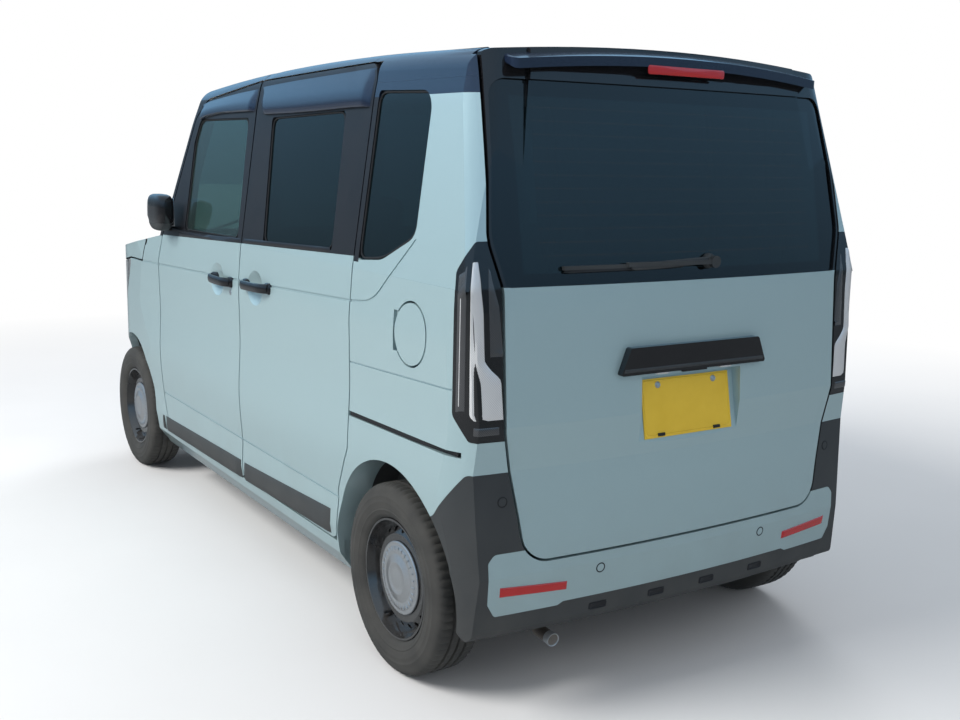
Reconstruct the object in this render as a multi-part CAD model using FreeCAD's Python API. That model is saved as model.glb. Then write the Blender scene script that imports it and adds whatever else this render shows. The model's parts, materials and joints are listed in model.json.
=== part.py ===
"""A tall one-box kei car standing on its four wheels: hollow painted body, two hinged front doors,
two fixed sliding rear doors, lifting tailgate and bonnet, fuel lid, steel wheels and an open cabin.

Frame: +X to the front, +Y to the car's left, +Z up, millimetres. The origin is on the ground under
the middle of the car's length, between its sides.
"""
import FreeCAD
import Part
import os
from math import cos, pi, radians, sin, tan

os.makedirs("parts", exist_ok=True)
V = FreeCAD.Vector

# Overall size and running gear
LENGTH = 3395.0
HALF_WIDTH = 737.5
HEIGHT = 1790.0
NOSE_X = LENGTH / 2
TAIL_X = -LENGTH / 2
WHEELBASE = 2520.0
FRONT_OVERHANG = 435.0
FRONT_AXLE_X = NOSE_X - FRONT_OVERHANG
REAR_AXLE_X = FRONT_AXLE_X - WHEELBASE
HALF_TRACK = 652.5
TYRE_R = 278.5
TYRE_W = 155.0
RIM_R = 178.0
AXLE_Z = TYRE_R

# Body walls and gaps
PANEL_GAP = 6.0
HINGE_GAP = 8.0
SEAT_GAP = 0.3
SEAM = 0.6
DOOR_WALL = 95.0
UPPER_WALL = 42.0
TAILGATE_WALL = 60.0
FRONT_WALL = 34.0
GLASS_INSET = 7.0
GLASS_T = 5.0

# Body levels
SILL_BOTTOM_Z = 232.0
DOOR_BOTTOM_Z = 290.0
BELT_Z = 1150.0
FLOOR_Z = 245.0
FLOOR_T = 22.0
REAR_FLOOR_Z = 400.0
REAR_FLOOR_X = -800.0
QUARTER_TOP_Z = 1678.0
SCREEN_TOP_Z = 1667.0
CENTRE_TOP_Z = 1719.0
REAR_TOP_Z = 1741.0

# Door lines along the body
FENDER_LINE_X = 812.0
CENTRE_LINE_X = -118.0
SLIDING_LINE_X = -1003.0

# Hinges: the axis lies just inside each panel's leading edge and just under its skin
DOOR_HINGE = (790.0, 724.0)
TAILGATE_HINGE = (-1505.0, 1745.0)
BONNET_HINGE = (1010.0, 1083.0)
DOOR_ROLL = 24.0
TAILGATE_ROLL = 33.0
BONNET_ROLL = 22.0
PIN_R = 2.8
LID_PIN_R = 2.5
EYE_R = 5.2
PIN_CLEARANCE = 0.3
ARCH_R = 347.0
LINER_R = 352.0
LINER_T = 4.0

# Pressed lines, slots and finger recesses of the skin
GROOVE_DEPTH = 3.5
RAIL_DEPTH = 22.0
CUP_R = 63.0
CUP_DEPTH = 19.0
CUP_REACH = 5.0
CORNER_R = 85.0

# Crown radii of the roof, front and tail
ROOF_CROWN_R = 16500.0
ROOF_PEAK_X = -850.0
FRONT_CROWN_R = 2500.0
TAIL_CROWN_R = 6000.0
FAR = 3000.0


def rounded_wire(points, place):
    """Closed wire through (u, v, radius) corners, each corner with a tangent arc of its radius."""
    corners = [(V(u, v, 0), r) for u, v, r in points]
    ends = []
    for i, (p, r) in enumerate(corners):
        before = (corners[i - 1][0] - p).normalize()
        after = (corners[(i + 1) % len(corners)][0] - p).normalize()
        half = before.getAngle(after) / 2
        if r <= 0 or abs(half - pi / 2) < 1e-4:
            ends.append((p, None, p))
            continue
        back = r / tan(half)
        middle = (before + after).normalize() * (r / sin(half) - r)
        ends.append((p + before * back, p + middle, p + after * back))
    edges = []
    for i, (start, mid, end) in enumerate(ends):
        if mid is not None:
            edges.append(Part.Arc(place(start), place(mid), place(end)).toShape())
        nxt = ends[(i + 1) % len(ends)][0]
        if (nxt - end).Length > 1e-6:
            edges.append(Part.LineSegment(place(end), place(nxt)).toShape())
    return Part.Wire(edges)


def side_place(p):
    return V(p.x, 0, p.y)


def end_place(p):
    return V(0, p.x, p.y)


def plan_place(p):
    return V(p.x, p.y, 0)


def grown(face, by):
    """Outline moved outwards by a distance, or inwards where it is negative."""
    return face if abs(by) < 1e-9 else face.makeOffset2D(by)


def side_prism(points, grow=0.0, y0=0.0, y1=1200.0):
    face = grown(Part.Face(rounded_wire(points, side_place)), grow)
    solid = face.extrude(V(0, y1 - y0, 0))
    solid.translate(V(0, y0, 0))
    return solid


def end_prism(points, grow, x0, x1):
    face = grown(Part.Face(rounded_wire(points, end_place)), grow)
    solid = face.extrude(V(x1 - x0, 0, 0))
    solid.translate(V(x0, 0, 0))
    return solid


def plan_prism(points, grow, z0, z1):
    face = grown(Part.Face(rounded_wire(points, plan_place)), grow)
    solid = face.extrude(V(0, 0, z1 - z0))
    solid.translate(V(0, 0, z0))
    return solid


def block(x0, x1, y0, y1, z0, z1):
    return Part.makeBox(x1 - x0, y1 - y0, z1 - z0, V(x0, y0, z0))


def tube(start, end, radius, bore=0.0):
    along = end - start
    solid = Part.makeCylinder(radius, along.Length, start, along)
    if bore > 0:
        solid = solid.cut(Part.makeCylinder(bore, along.Length, start, along))
    return solid


def mirrored(shape):
    return shape.mirror(V(0, 0, 0), V(0, 1, 0))


def both_sides(shape):
    return Part.makeCompound([shape, mirrored(shape)])


def both_halves(points):
    """A half outline of (y, z, radius) corners, from the centre line out and up, made whole."""
    return points + [(-y, z, r) for y, z, r in reversed(points) if y > 0]


def solids_of(shape, smallest=200.0):
    found = [s for s in shape.Solids if s.Volume > smallest]
    return found[0] if len(found) == 1 else Part.makeCompound(found)


def save(name, shape):
    shape = solids_of(shape)
    for solid in shape.Solids:
        if not solid.isValid():
            print("not valid:", name, round(solid.Volume))
    shape.exportStep("parts/" + name + ".step")
    box = shape.BoundBox
    print(name, len(shape.Solids), "solids", len(shape.Faces), "faces",
          [round(v) for v in (box.XMin, box.XMax, box.YMin, box.YMax, box.ZMin, box.ZMax)])


# Body envelope: cross-section, half, from the floor up: y, z, corner radius
SECTION = both_halves([
    (660.0, 170.0, 20.0),
    (716.0, SILL_BOTTOM_Z + 15.0, 18.0),
    (728.0, 330.0, 60.0),
    (725.0, 425.0, 30.0),
    (739.0, 600.0, 1000.0),
    (729.5, 790.0, 1100.0),
    (733.0, 1010.0, 500.0),
    (722.0, BELT_Z, 60.0),
    (654.0, 1640.0, 500.0),
    (628.0, 1759.0, 66.0),
])
ROOF_CROWN = (0.0, HEIGHT + 22.0, 6400.0)

# Front profile at the centre line, x, z, corner radius, from under the nose up to the roof
FRONT_PROFILE = [
    (1560.0, 205.0, 30.0),
    (1672.0, 290.0, 60.0),
    (NOSE_X + 1.0, 470.0, 260.0),
    (1684.0, 800.0, 300.0),
    (1650.0, 1000.0, 75.0),
    (962.0, 1112.0, 10.0),
    (632.0, 1722.0, 130.0),
    (250.0, 1765.0, 10.0),
]

# Tail profile at the centre line
TAIL_PROFILE = [
    (-1600.0, 216.0, 20.0),
    (-1683.0, 228.0, 30.0),
    (TAIL_X - 1.0, 400.0, 0.0),
    (-1687.0, 560.0, 0.0),
    (-1680.0, 682.0, 0.0),
    (-1691.0, 800.0, 0.0),
    (-1668.0, BELT_Z + 5.0, 30.0),
    (-1567.0, 1700.0, 20.0),
    (-1545.0, 1768.0, 22.0),
]

# Plan outline of the lower body, half, from the tail to the nose
PLAN = [
    (TAIL_X - 200.0, 610.0, 0.0),
    (-1690.0, 660.0, 130.0),
    (-1590.0, 738.5, 260.0),
    (950.0, 738.5, 4000.0),
    (1400.0, 715.0, 420.0),
    (1640.0, 600.0, 200.0),
    (NOSE_X + 300.0, 200.0, 0.0),
]


def section_face(inset):
    half = len(SECTION) // 2
    points = SECTION[:half] + [ROOF_CROWN] + SECTION[half:]
    return grown(Part.Face(rounded_wire(points, end_place)), -inset)


def lower_tube(inset):
    face = section_face(inset)
    solid = face.extrude(V(2 * FAR, 0, 0))
    solid.translate(V(-FAR, 0, 0))
    return solid.common(block(-FAR, FAR, -FAR, FAR, 0, BELT_Z))


def upper_tube(inset):
    """The greenhouse follows the same section, swept along the roof's long crown."""
    face = section_face(inset)
    face.translate(V(ROOF_PEAK_X, 0, 0))
    axis_at = V(ROOF_PEAK_X, 0, HEIGHT - ROOF_CROWN_R)
    face.rotate(axis_at, V(0, 1, 0), -8)
    solid = face.revolve(axis_at, V(0, 1, 0), 16)
    return solid.common(block(-FAR, FAR, -FAR, FAR, BELT_Z, FAR))


def front_limit(inset):
    axis_x = NOSE_X - FRONT_CROWN_R
    points = [(axis_x, 100.0, 0.0), (1560.0, 100.0, 0.0)] + FRONT_PROFILE
    points += [(250.0, 2200.0, 0.0), (axis_x, 2200.0, 0.0)]
    face = Part.Face(rounded_wire(points, side_place))
    if inset > 0:
        face = grown(face, -inset)
        face = face.common(Part.Face(rounded_wire([(axis_x, 0, 0), (FAR, 0, 0), (FAR, FAR, 0),
                                                   (axis_x, FAR, 0)], side_place)))
        spare = block(axis_x - 1, axis_x + inset + 1, -1, 1, 0, FAR)
        face = face.cut(spare).Faces[0]
    return face.revolve(V(axis_x, 0, 0), V(0, 0, 1), 360)


def tail_limit(inset):
    axis_x = TAIL_X + TAIL_CROWN_R
    points = [(axis_x, 100.0, 0.0), (-1600.0, 100.0, 0.0)] + TAIL_PROFILE
    points += [(-1500.0, 2200.0, 0.0), (axis_x, 2200.0, 0.0)]
    face = grown(Part.Face(rounded_wire(points, side_place)), -inset)
    return face.revolve(V(axis_x, 0, 0), V(0, 0, 1), 360)


def plan_limit(inset):
    half = PLAN
    points = half + [(x, -y, r) for x, y, r in reversed(half)]
    lower = plan_prism(points, -inset, 0, BELT_Z)
    return lower.fuse(block(-FAR, FAR, -FAR, FAR, BELT_Z, FAR))


def corner_cut(inset):
    """What the rounded upper rear corner takes off, growing from nothing at the belt to the roof."""
    lean = V(140.0, -97.0, 600.0)
    keep = [(-1380.0, 560.0, 0.0), (-1380.0, 733.0, 0.0), (-1650.0, 735.0, CORNER_R),
            (-1661.0, 560.0, 0.0)]
    around = [(-1400.0, 580.0, 0.0), (-1400.0, 900.0, 0.0), (-1900.0, 900.0, 0.0), (-1900.0, 580.0, 0.0)]
    solids = []
    for outline, grow in ((around, 0.0), (keep, -inset)):
        face = grown(Part.Face(rounded_wire(outline, plan_place)), grow)
        face.translate(V(0, 0, BELT_Z))
        solids.append(face.extrude(lean * 1.1))
    return solids[0].cut(solids[1])


def hull(lower, upper, front, tail):
    """The closed body envelope, drawn in by its own wall thickness on each side."""
    ends = front_limit(front)
    rear = tail_limit(tail)
    low = lower_tube(lower).common(ends).common(rear).common(plan_limit(lower))
    high = upper_tube(upper).common(ends).common(rear)
    corner = corner_cut(max(upper, tail))
    return low.fuse(high.cut(corner).cut(mirrored(corner)))


# Cut lines of the body side, x, z, corner radius
FRONT_DOOR = [
    (CENTRE_LINE_X, DOOR_BOTTOM_Z - 3.0, 12.0),
    (655.0, DOOR_BOTTOM_Z - 3.0, 60.0),
    (745.0, 318.0, 60.0),
    (808.0, 420.0, 90.0),
    (FENDER_LINE_X + 4.0, 1000.0, 60.0),
    (773.0, 1112.0, 40.0),
    (526.0, 1600.0, 60.0),
    (420.0, SCREEN_TOP_Z, 90.0),
    (CENTRE_LINE_X, CENTRE_TOP_Z, 12.0),
]
SLIDING_DOOR = [
    (CENTRE_LINE_X, DOOR_BOTTOM_Z - 3.0, 12.0),
    (CENTRE_LINE_X, CENTRE_TOP_Z, 12.0),
    (SLIDING_LINE_X, REAR_TOP_Z, 60.0),
    (SLIDING_LINE_X, 610.0, 60.0),
    (-922.0, 460.0, 70.0),
    (-905.0, DOOR_BOTTOM_Z - 3.0, 40.0),
]
FRONT_GLASS = [
    (-76.0, BELT_Z + 12.0, 15.0),
    (520.0, BELT_Z + 2.0, 20.0),
    (516.0, 1500.0, 60.0),
    (468.0, 1592.0, 40.0),
    (-50.0, 1592.0, 15.0),
]
SLIDING_GLASS = [
    (-852.0, 1187.0, 15.0),
    (-314.0, 1164.0, 15.0),
    (-268.0, 1590.0, 15.0),
    (-832.0, 1604.0, 15.0),
]
QUARTER_GLASS = [
    (-1032.0, 1176.0, 12.0),
    (-1032.0, 1657.0, 12.0),
    (-1337.0, 1649.0, 60.0),
    (-1342.0, 1264.0, 50.0),
    (-1172.0, 1188.0, 130.0),
]

# Front end cut lines seen from the side
BONNET_EDGE = [
    (970.0, 1400.0, 0.0),
    (980.0, 1118.0, 12.0),
    (1046.0, 984.0, 25.0),
    (1250.0, 980.0, 120.0),
    (1500.0, 938.0, 120.0),
    (1900.0, 938.0, 0.0),
    (1900.0, 1400.0, 0.0),
]
HEADLAMP_EDGE = [
    (1246.0, 984.0, 20.0),
    (1364.0, 778.0, 30.0),
    (1900.0, 758.0, 0.0),
    (1900.0, 944.0, 0.0),
    (1500.0, 944.0, 60.0),
]
BUMPER_EDGE = [
    (1560.0, 100.0, 0.0),
    (1560.0, 470.0, 10.0),
    (1470.0, 560.0, 60.0),
    (1366.0, 772.0, 30.0),
    (1900.0, 752.0, 0.0),
    (1900.0, 100.0, 0.0),
]

# Rear cut lines seen from behind, half: y, z, corner radius
TAILGATE_EDGE = [
    (548.0, 430.0, 85.0),
    (570.0, 560.0, 200.0),
    (602.0, 720.0, 60.0),
    (616.0, 790.0, 120.0),
    (618.0, BELT_Z, 180.0),
    (652.0, 1275.0, 150.0),
    (618.0, 1690.0, 120.0),
    (608.0, 1850.0, 0.0),
]
TAILGATE_GLASS = [
    (607.0, BELT_Z + 6.0, 14.0),
    (641.0, 1283.0, 150.0),
    (606.0, 1676.0, 50.0),
]
TAILGATE_OPENING = [
    (552.0, 1186.0, 50.0),
    (512.0, 1632.0, 60.0),
]
SCREEN_EDGE = [
    (612.0, 1130.0, 60.0),
    (560.0, 1650.0, 60.0),
]

OUTER = hull(0.0, 0.0, 0.0, 0.0)
CABIN = hull(DOOR_WALL, UPPER_WALL, UPPER_WALL, TAILGATE_WALL)
GLASS_OUT = hull(GLASS_INSET, GLASS_INSET, GLASS_INSET, GLASS_INSET)
GLASS_IN = hull(GLASS_INSET + GLASS_T, GLASS_INSET + GLASS_T, GLASS_INSET + GLASS_T, GLASS_INSET + GLASS_T)
NOSE_IN = hull(FRONT_WALL, FRONT_WALL, FRONT_WALL, FRONT_WALL)
GROOVE_SKIN = OUTER.cut(hull(GROOVE_DEPTH, GROOVE_DEPTH, GROOVE_DEPTH, GROOVE_DEPTH))
RAIL_SKIN = OUTER.cut(hull(RAIL_DEPTH, RAIL_DEPTH, RAIL_DEPTH, RAIL_DEPTH))
SHELL = OUTER.cut(CABIN)
NOSE_SHELL = OUTER.cut(NOSE_IN)
GLASS = GLASS_OUT.cut(GLASS_IN)

# Cut shapes used by several panels
HALF_PANEL = PANEL_GAP / 2
HALF_HINGE = HINGE_GAP / 2
HALF_SEAM = SEAM / 2
FRONT_ARCH = tube(V(FRONT_AXLE_X, 380, AXLE_Z), V(FRONT_AXLE_X, 900, AXLE_Z), ARCH_R)
REAR_ARCH = tube(V(REAR_AXLE_X, 500, AXLE_Z), V(REAR_AXLE_X, 900, AXLE_Z), ARCH_R)


def tailgate_zone(grow, front_x):
    return end_prism(both_halves(TAILGATE_EDGE), grow, -1900, front_x)


def strip(line, width):
    """Narrow closed outline of one width along a bent line of (x, z, radius) corners."""
    above = [(x, z + width / 2, r) for x, z, r in line]
    below = [(x, z - width / 2, r) for x, z, r in reversed(line)]
    return above + below


def handle_cup(x, z):
    """Oval finger recess behind a door handle, cut by a round-ended bar that dips under the skin."""
    ball = (CUP_R ** 2 + CUP_DEPTH ** 2) / (2 * CUP_DEPTH)
    y = 732.0 - CUP_DEPTH + ball
    start, end = V(x - CUP_REACH, y, z), V(x + CUP_REACH, y, z)
    return tube(start, end, ball).fuse(Part.makeSphere(ball, start)).fuse(Part.makeSphere(ball, end))


# Lines pressed into the side: the shoulder, the sill step, the tail crease and the door's rail slot
SHOULDER = [
    (1236.0, 978.0, 0.0),
    (807.0, 990.0, 900.0),
    (189.0, 1010.0, 3000.0),
    (-388.0, 1029.0, 3000.0),
    (-1010.0, 1055.0, 700.0),
    (-1140.0, 1068.0, 160.0),
    (-1346.0, 1258.0, 0.0),
]
SILL_LINE = [
    (800.0, 434.0, 0.0),
    (-930.0, 434.0, 0.0),
]
QUARTER_LINE = [
    (-1000.0, 873.0, 0.0),
    (-1590.0, 896.0, 0.0),
]
RAIL = [
    (-1000.0, 718.0, 0.0),
    (-1608.0, 729.0, 0.0),
]
shoulder_cut = GROOVE_SKIN.common(side_prism(strip(SHOULDER, 7.0), 0, 480))
sill_cut = GROOVE_SKIN.common(side_prism(strip(SILL_LINE, 5.0), 0, 480))
quarter_cut = GROOVE_SKIN.common(side_prism(strip(QUARTER_LINE, 4.0), 0, 480))
rail_cut = RAIL_SKIN.common(side_prism(strip(RAIL, 15.0), 0, 480))


def rolled_edge(x, level, roll, y0, y1):
    """What is trimmed off a lid's leading edge so it turns clear about a crossways hinge."""
    round_bar = tube(V(x, y0, level), V(x, y1, level), abs(roll))
    if roll > 0:
        corner = block(x, x + 120, y0, y1, level - 4, level + 120)
    else:
        corner = block(x - 120, x, y0, y1, level - 4, level + 120)
    return corner.cut(round_bar)


def save_pair(name, left):
    save(name + "_left", left)
    save(name + "_right", mirrored(left))


# Front doors: the whole wall between the cut lines, limited by the sweep about the hinge
DOOR_INNER_Y = 598.0
ROOF_RAIL_Y = 590.0
door = SHELL.common(side_prism(FRONT_DOOR, -HALF_HINGE, DOOR_INNER_Y))
latch_r = DOOR_HINGE[0] - CENTRE_LINE_X - HALF_HINGE
sweep = tube(V(DOOR_HINGE[0], DOOR_HINGE[1], 0), V(DOOR_HINGE[0], DOOR_HINGE[1], 2000), latch_r)
door = door.common(sweep)
door = door.cut(side_prism(FRONT_GLASS, 0, 480))
roll = tube(V(DOOR_HINGE[0], DOOR_HINGE[1], 0), V(DOOR_HINGE[0], DOOR_HINGE[1], 2000), DOOR_ROLL)
door = door.cut(block(DOOR_HINGE[0], 900, DOOR_HINGE[1], 900, 0, 1100).cut(roll))
HINGE_LEVELS = (620.0, 895.0)
hinge_arms = []
for level in HINGE_LEVELS:
    x, y = DOOR_HINGE
    door = door.cut(block(x - 13, x + 60, y - 55, y + EYE_R + 0.4, level - 15, level + 15))
    door = door.cut(tube(V(x, y, level - 24), V(x, y, level + 24), PIN_R + PIN_CLEARANCE))
    arm = plan_prism([(x - 5, y, 0), (x - 5, y - 40, 3), (x + 45, y - 48, 0), (x + 45, y - 39, 0),
                      (x + 5, y - 32, 3), (x + 5, y, 0)], 0, level - 11, level + 11)
    arm = arm.fuse(tube(V(x, y, level - 11), V(x, y, level + 11), EYE_R))
    hinge_arms.append(arm.fuse(tube(V(x, y, level - 23), V(x, y, level + 23), PIN_R)))
door = door.cut(shoulder_cut).cut(sill_cut).cut(handle_cup(103.0, 1003.0))
save_pair("front_door", door)
save_pair("door_glass", GLASS.common(side_prism(FRONT_GLASS, -SEAT_GAP, 480)))

# Door mirrors, folded back along the glass: a rounded housing on a foot in the window's front corner
housing = side_prism([(536, 1142, 40), (726, 1134, 30), (722, 1288, 40), (544, 1296, 50)], 0, 738, 812)
housing = housing.common(plan_prism([(530, 738, 14), (536, 772, 30), (640, 812, 90), (727, 806, 40),
                                     (727, 738, 12)], 0, 1100, 1320))
foot = block(664, 712, 680, 760, 1146, 1176).cut(OUTER)
save_pair("mirror", housing.fuse(foot))

# Sliding doors, held shut
sliding = SHELL.common(side_prism(SLIDING_DOOR, -HALF_PANEL, DOOR_INNER_Y))
sliding = sliding.cut(side_prism(SLIDING_GLASS, 0, 480))
sliding = sliding.cut(shoulder_cut).cut(sill_cut).cut(handle_cup(-270.0, 1011.0))
save("sliding_doors", both_sides(sliding))

# Rear quarter panels with the wheel arch, the side window, the lamp seat and the filler pocket
LAMP_EDGE = [
    (-602.0, 1196.0, 40.0),
    (-602.0, 830.0, 30.0),
    (-651.0, 767.0, 15.0),
    (-800.0, 765.0, 0.0),
    (-800.0, 1272.0, 0.0),
    (-652.0, 1272.0, 12.0),
]


def lamp_place(p):
    """The lamp's outline lies on the upright plane that faces the rear corner at 45 degrees."""
    return V(p.x * cos(pi / 4), p.x * sin(pi / 4), p.y)


def lamp_zone(grow):
    across = V(cos(pi / 4), -sin(pi / 4), 0)
    face = grown(Part.Face(rounded_wire(LAMP_EDGE, lamp_place)), grow)
    face.translate(across * -1900)
    return face.extrude(across * 700)


HEAD_ROOM = block(-1133, 383, -503, 503, 1347, 1693)
LOAD_ROOM = block(-1468, -1162, -503, 503, 1112, 1688)
REAR_BUMPER_EDGE = [
    (-1900.0, 680.0, 0.0),
    (-1622.0, 680.0, 25.0),
    (-1504.0, 543.0, 60.0),
    (-1440.0, 515.0, 0.0),
    (-1440.0, 100.0, 0.0),
    (-1900.0, 100.0, 0.0),
]
quarter = SHELL.common(block(-1900, SLIDING_LINE_X + 100, 480, 900, SILL_BOTTOM_Z, QUARTER_TOP_Z - HALF_SEAM))
quarter = quarter.cut(side_prism(SLIDING_DOOR, HALF_PANEL, 480))
quarter = quarter.cut(block(-960, 900, 400, 900, 0, DOOR_BOTTOM_Z - PANEL_GAP))
quarter = quarter.cut(side_prism(QUARTER_GLASS, 0, 480))
quarter = quarter.cut(lamp_zone(HALF_SEAM))
quarter = quarter.cut(side_prism(REAR_BUMPER_EDGE, HALF_SEAM, 480))
quarter = quarter.cut(REAR_ARCH).cut(tailgate_zone(HALF_HINGE, -1400))
quarter = quarter.cut(shoulder_cut).cut(quarter_cut).cut(rail_cut).cut(LOAD_ROOM)
quarter = max(quarter.Solids, key=lambda solid: solid.Volume)
LID_CENTRE = V(-1364.0, 0, 1007.0)
LID_R = 84.0
LID_HINGE = (LID_CENTRE.x + LID_R - 12.0, 727.0)
pocket = tube(LID_CENTRE + V(0, 690, 0), LID_CENTRE + V(0, 900, 0), LID_R + PANEL_GAP)
neck = tube(LID_CENTRE + V(0, 690, 0), LID_CENTRE + V(0, 706, 0), 28)
pivot = V(LID_HINGE[0], LID_HINGE[1], LID_CENTRE.z)
pin = tube(pivot - V(0, 0, 62), pivot + V(0, 0, 62), LID_PIN_R)
swing_room = tube(pivot - V(0, 0, 56), pivot + V(0, 0, 56), 21)
quarters = [quarter.cut(pocket).cut(swing_room).fuse(neck).fuse(pin), mirrored(quarter)]
save("quarter_panels", Part.makeCompound(quarters))
lid = NOSE_SHELL.common(tube(LID_CENTRE + V(0, 713, 0), LID_CENTRE + V(0, 900, 0), LID_R))
lid = lid.cut(tube(pivot - V(0, 0, 90), pivot + V(0, 0, 90), LID_PIN_R + PIN_CLEARANCE))
save("fuel_lid", lid)
side_glass = GLASS.common(side_prism(QUARTER_GLASS, -SEAT_GAP, 480))
side_glass = Part.makeCompound([side_glass, GLASS.common(side_prism(SLIDING_GLASS, -SEAT_GAP, 480))])
save("side_glass", both_sides(side_glass))

# Sills with the door posts, and the centre pillars
sill = SHELL.common(block(-980, 960, 560, 900, 170, DOOR_BOTTOM_Z - PANEL_GAP))
sill = sill.cut(FRONT_ARCH).cut(REAR_ARCH)
for axle_x in (FRONT_AXLE_X, REAR_AXLE_X):
    sill = sill.cut(tube(V(axle_x, 400, AXLE_Z), V(axle_x, 700.3, AXLE_Z), LINER_R + LINER_T + SEAT_GAP))
pillar = end_prism([(575, 270, 0), (630, 270, 0), (630, 1138, 20), (668, 1170, 20), (600, 1640, 60),
                    (540, 1752, 0), (500, 1752, 0), (560, 1640, 80), (612, 1175, 20), (575, 1130, 20)],
                   0, -168, -72)
pillar = pillar.common(CABIN)
save("centre_pillars", both_sides(pillar))
POST_X = 826.0
POST_Y = 600.0
post = block(POST_X, 872.7, POST_Y, 696, DOOR_BOTTOM_Z - 10, 1060)
frame = sill.fuse(post.cut(FRONT_ARCH).common(NOSE_IN))
for arm in hinge_arms:
    frame = frame.fuse(arm)
save("sills", both_sides(frame))

# Roof with the header rail, open at the back for the tailgate
ROOF_EDGE = [
    (1200.0, SCREEN_TOP_Z, 0.0),
    (420.0, SCREEN_TOP_Z, 0.0),
    (CENTRE_LINE_X, CENTRE_TOP_Z, 0.0),
    (SLIDING_LINE_X, REAR_TOP_Z, 0.0),
    (SLIDING_LINE_X, QUARTER_TOP_Z, 0.0),
    (-1900.0, QUARTER_TOP_Z, 0.0),
    (-1900.0, 2000.0, 0.0),
    (1200.0, 2000.0, 0.0),
]
roof = SHELL.common(side_prism(ROOF_EDGE, 0, -900, 900)).cut(HEAD_ROOM).cut(LOAD_ROOM)
for side in (1, -1):
    cuts = [side_prism(FRONT_DOOR, HALF_HINGE, ROOF_RAIL_Y), side_prism(SLIDING_DOOR, HALF_PANEL, ROOF_RAIL_Y)]
    for cut in cuts:
        roof = roof.cut(cut if side > 0 else mirrored(cut))
roof = roof.cut(tailgate_zone(HALF_HINGE, TAILGATE_HINGE[0] + TAILGATE_ROLL + 5.5))
for side in (1, -1):
    x, level = TAILGATE_HINGE
    y = side * 420
    roof = roof.fuse(tube(V(x, y - 7, level), V(x, y + 7, level), EYE_R))
    roof = roof.fuse(tube(V(x, y - 20, level), V(x, y + 20, level), PIN_R))
    roof = roof.fuse(block(x - 5, x + 5, y - 7, y + 7, level - 48, level))
    roof = roof.fuse(block(x - 5, x + 72, y - 7, y + 7, level - 48, level - 40))
    roof = roof.fuse(block(x + 62, x + 72, y - 7, y + 7, level - 48, level).cut(OUTER.cut(NOSE_IN)))
HEADER_ZONE = block(383, 1300, -900, 900, 1500, 2000)
save("roof_panel", Part.makeCompound([roof.cut(HEADER_ZONE), roof.common(HEADER_ZONE)]))

# Screen frame: front pillars and the cowl below the windscreen
frame_zone = [
    (380.0, SCREEN_TOP_Z - SEAM, 0.0),
    (380.0, 1100.0, 0.0),
    (1200.0, 1100.0, 0.0),
    (1200.0, SCREEN_TOP_Z - SEAM, 0.0),
]
frame = SHELL.common(side_prism(frame_zone, 0, -900, 900))
for cut in (side_prism(FRONT_DOOR, HALF_HINGE, 480), side_prism([(640, 900, 0), (1200, 900, 0),
            (1200, 1112, 0), (640, 1112, 0)], HALF_SEAM, 560)):
    frame = frame.cut(cut).cut(mirrored(cut))
frame = frame.cut(side_prism(BONNET_EDGE, HALF_HINGE, -900, 900))
COWL_LIP = block(970, 1100, -560, 560, 1095, 1106)
frame = frame.cut(COWL_LIP)
frame = frame.cut(end_prism(both_halves(SCREEN_EDGE), 0, 380, 1200))
save("screen_frame", frame)
save("windscreen", GLASS.common(end_prism(both_halves(SCREEN_EDGE), -SEAT_GAP, 380, 1200)))

# Front fenders
fender = NOSE_SHELL.common(block(700, 1900, 480, 900, SILL_BOTTOM_Z, 1112))
fender = fender.cut(side_prism(FRONT_DOOR, HALF_HINGE, 400)).cut(FRONT_ARCH)
fender = fender.cut(block(700, 961, 400, 900, 0, DOOR_BOTTOM_Z - PANEL_GAP + SEAM))
for outline, gap in ((BONNET_EDGE, HALF_HINGE), (HEADLAMP_EDGE, HALF_SEAM), (BUMPER_EDGE, HALF_SEAM)):
    fender = fender.cut(side_prism(outline, gap, 400))
fender = fender.cut(block(700, 1900, 480, 560 + SEAM, 0, 1200))
fender = fender.cut(shoulder_cut)
x, level = BONNET_HINGE
fender = fender.cut(tube(V(x, 480, level), V(x, 900, level), BONNET_ROLL + PANEL_GAP))
fender = max(fender.Solids, key=lambda solid: solid.Volume)
save("front_fenders", both_sides(fender))

# Bonnet
bonnet = NOSE_SHELL.common(side_prism(BONNET_EDGE, -HALF_HINGE, -900, 900))
bonnet = bonnet.cut(rolled_edge(BONNET_HINGE[0], BONNET_HINGE[1], -BONNET_ROLL, -900, 900))
bonnet_arms = []
for side in (1, -1):
    x, level = BONNET_HINGE
    y = side * 550
    bonnet = bonnet.cut(block(x - 60, x + 12, y - 11, y + 11, level - 60, level + EYE_R + 0.4))
    bonnet = bonnet.cut(tube(V(x, y - 22, level), V(x, y + 22, level), PIN_R + PIN_CLEARANCE))
    arm = tube(V(x, y - 7, level), V(x, y + 7, level), EYE_R)
    arm = arm.fuse(tube(V(x, y - 20, level), V(x, y + 20, level), PIN_R))
    arm = arm.fuse(block(x - 5, x + 5, y - 7, y + 7, level - 60, level))
    bonnet_arms.append(arm.fuse(block(880, x + 5, y - 7, y + 7, level - 60, level - 50)))
save("bonnet", bonnet)

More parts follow.
